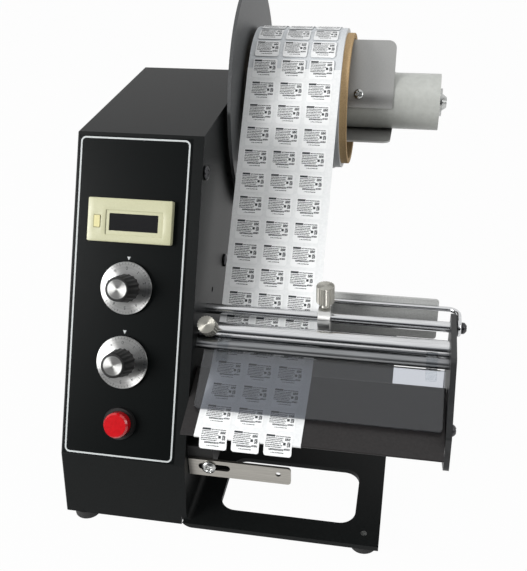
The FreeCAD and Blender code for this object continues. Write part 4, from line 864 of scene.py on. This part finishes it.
# Three rods cross from the side plate to the end arm: a guide rod with its collar, a thick
# bar that holds the web down, and the thin hinge rod of the flap. They are steel. The collar
# and the thumb screws, with their knurled heads, are turned from aluminium.
dress(ground_steel, "top_guide_rod", "hold_down_bar")

# Dull steel: the hinge rod is only drawn, so it is greyer and more matt than the others.
dress(drawn("dull_steel_rod", "#7E8082", "#98999B", 0.24), "cover_hinge_rod")

# Turned aluminium again: a warmer silver here, with the light in narrow fans on the ends.
turned("turned_collar", "guide_collar", Vector((1, 0, 0)), "#BDBDBB", "#DADAD8")
turned("turned_collar_screw", "collar_thumb_screw", Vector((0, 0, 1)), "#A9A79F", "#CFCDC5")
turned("turned_bar_screw", "bar_thumb_screw",
       Vector((0, -math.sqrt(0.5), math.sqrt(0.5))), "#8E8C84", "#B9B7AE")


# The end arm carries the outer ends of the rods. It is a steel plate in black stove enamel,
# held by two screws with high domed heads: one goes into the guide rod, the other through
# the deck's tab.
arm_heads = (("upper", 147.0, 66.6, 105.1), ("lower", 144.0, 21.0, 70.5))

# Black enamel: a shade lighter than the powder coat, smooth, with a soft shine.
black_enamel = grained("black_stove_enamel", 1.2, 0.012, "#1A1B1C", "#232425",
                       {"Roughness": 0.38})
dress(black_enamel, "end_arm")
for name, x, y, z in arm_heads:
    mesh = pan_head(at(x, y, z), Vector((1, 0, 0)), 3.2 * mm, 3.0 * mm, 0.2, 9 * mm)
    head = piece(f"arm_head_{name}", mesh, oxide, "housing")
    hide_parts("arm_screws")


# A bent steel wire, with an eye at its end, and the sheet plate fixed along it stand behind
# the guide rod. They hold up the web on its way from the roll.

# Passivated zinc: a dull pale grey that is more like a coat than like metal.
pale_zinc = grained("passivated_zinc_sheet", 0.9, 0.01, "#B4B5B3", "#C4C5C3",
                    {"Metallic": 0.1, "Roughness": 0.45}, None, 3.0)
dress(pale_zinc, "web_support_plate")
dress(ground_steel, "web_support_wire")


# The deck is steel sheet with a thin round edge that peels the labels off, and a screw in
# the tab at each end. Over it lies a clear flap of cast acrylic, on two moulded knuckles
# that turn on the hinge rod.

# Baked paint: brown black and dry, with a little sheen towards the light.
deck_paint = grained("brown_black_baked_paint", 1.4, 0.01, "#1C1A1A", "#252222",
                     {"Roughness": 0.42, "Specular IOR Level": 0.35})
dress(deck_paint, "peel_deck")
dress(zinc, "deck_screw")

# Clear plastic: only a faint grey tint and a soft mirror show it. The knuckles reflect less
# than acrylic does, because in the photograph they hardly show.
haze_size = 16.667
for name, hue, bend, node in (("cast_acrylic", "#E4E6EA", 1.58, "acrylic_cover"),
                              ("moulded_clear_polycarbonate", "#F7F8F9", 1.2, "cover_clips")):
    material, tree = new_tree(name)
    place = add(tree, "ShaderNodeTexCoord")
    haze = add(tree, "ShaderNodeTexNoise", {"Scale": 1 / (haze_size * mm)},
               {"Vector": place.outputs["Object"]})
    spread = add(tree, "ShaderNodeMapRange", {"To Min": 0.1, "To Max": 0.14},
                 {"Value": haze.outputs["Fac"]})
    share = add(tree, "ShaderNodeFresnel", {"IOR": bend})
    through = add(tree, "ShaderNodeBsdfTransparent", {"Color": linear(hue)})
    shine = add(tree, "ShaderNodeBsdfGlossy", links={"Roughness": spread.outputs["Result"]})
    choice = add(tree, "ShaderNodeMixShader",
                 links={0: share.outputs[0], 1: through.outputs[0], 2: shine.outputs[0]})
    add(tree, "ShaderNodeOutputMaterial", links={"Surface": choice.outputs[0]})
    dress(material, node)


# The label sensor rides in a slotted strip below the deck. The strip is clamped to a moulded
# block by one pan head screw, and slides when that is loose.

# Brushed stainless: warm grey, with fine lines along the strip that stretch the light.
brushed = drawn("brushed_stainless_strip", "#9A9791", "#B4B1AA", 0.26)
dress(brushed, "sensor_arm")
dress(black_phenolic, "sensor_block")
mesh = pan_head(at(15.0, 6.5, 39.3), Vector((0, -1, 0)), 4 * mm, 2.3 * mm, 0.5, 8 * mm)
head = piece("clamp_head", mesh, zinc, "housing")
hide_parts("sensor_clamp_screw")


# The drive is under the deck and in the housing: a rubber covered roller and a pinch roller
# pull the liner, and a belt from the gear motor turns them. Posts hold the motor's zinc
# plated plate and the control board off the side plate, next to the supply.
dress(ground_steel, "drive_roller_shaft", "pinch_roller")
dress(rubber, "drive_roller_rubber", "drive_belt")
dress(zinc, "motor_plate")
dress(brushed, "drive_motor")

# Turned pulleys: plain silver, with rings on their faces.
turned("turned_pulley", "roller_pulley", Vector((1, 0, 0)), "#A9A9A7", "#CFCFCD")
turned("turned_small_pulley", "motor_pulley", Vector((1, 0, 0)), "#A9A9A7", "#CFCFCD")

# Extruded aluminium: soft grey metal without lines.
aluminium = grained("extruded_aluminium", 0.8, 0.01, "#A7A8A8", "#C3C4C4",
                    {"Metallic": 1.0, "Roughness": 0.42})
dress(aluminium, "standoffs", "power_supply")

# Glass epoxy: dark green under a thin lacquer, with the glass cloth faint in it.
board = grained("glass_epoxy_board", 0.8, 0.01, "#0E4A26", "#1A5E33", {"Roughness": 0.4})
dress(board, "control_board")

# Sintered bronze: brown and porous, dulled by its oil.
bronze = grained("sintered_bronze", 0.4, 0.02, "#7A5A2E", "#A9854A",
                 {"Metallic": 1.0, "Roughness": 0.45})
dress(bronze, "roller_bushes")
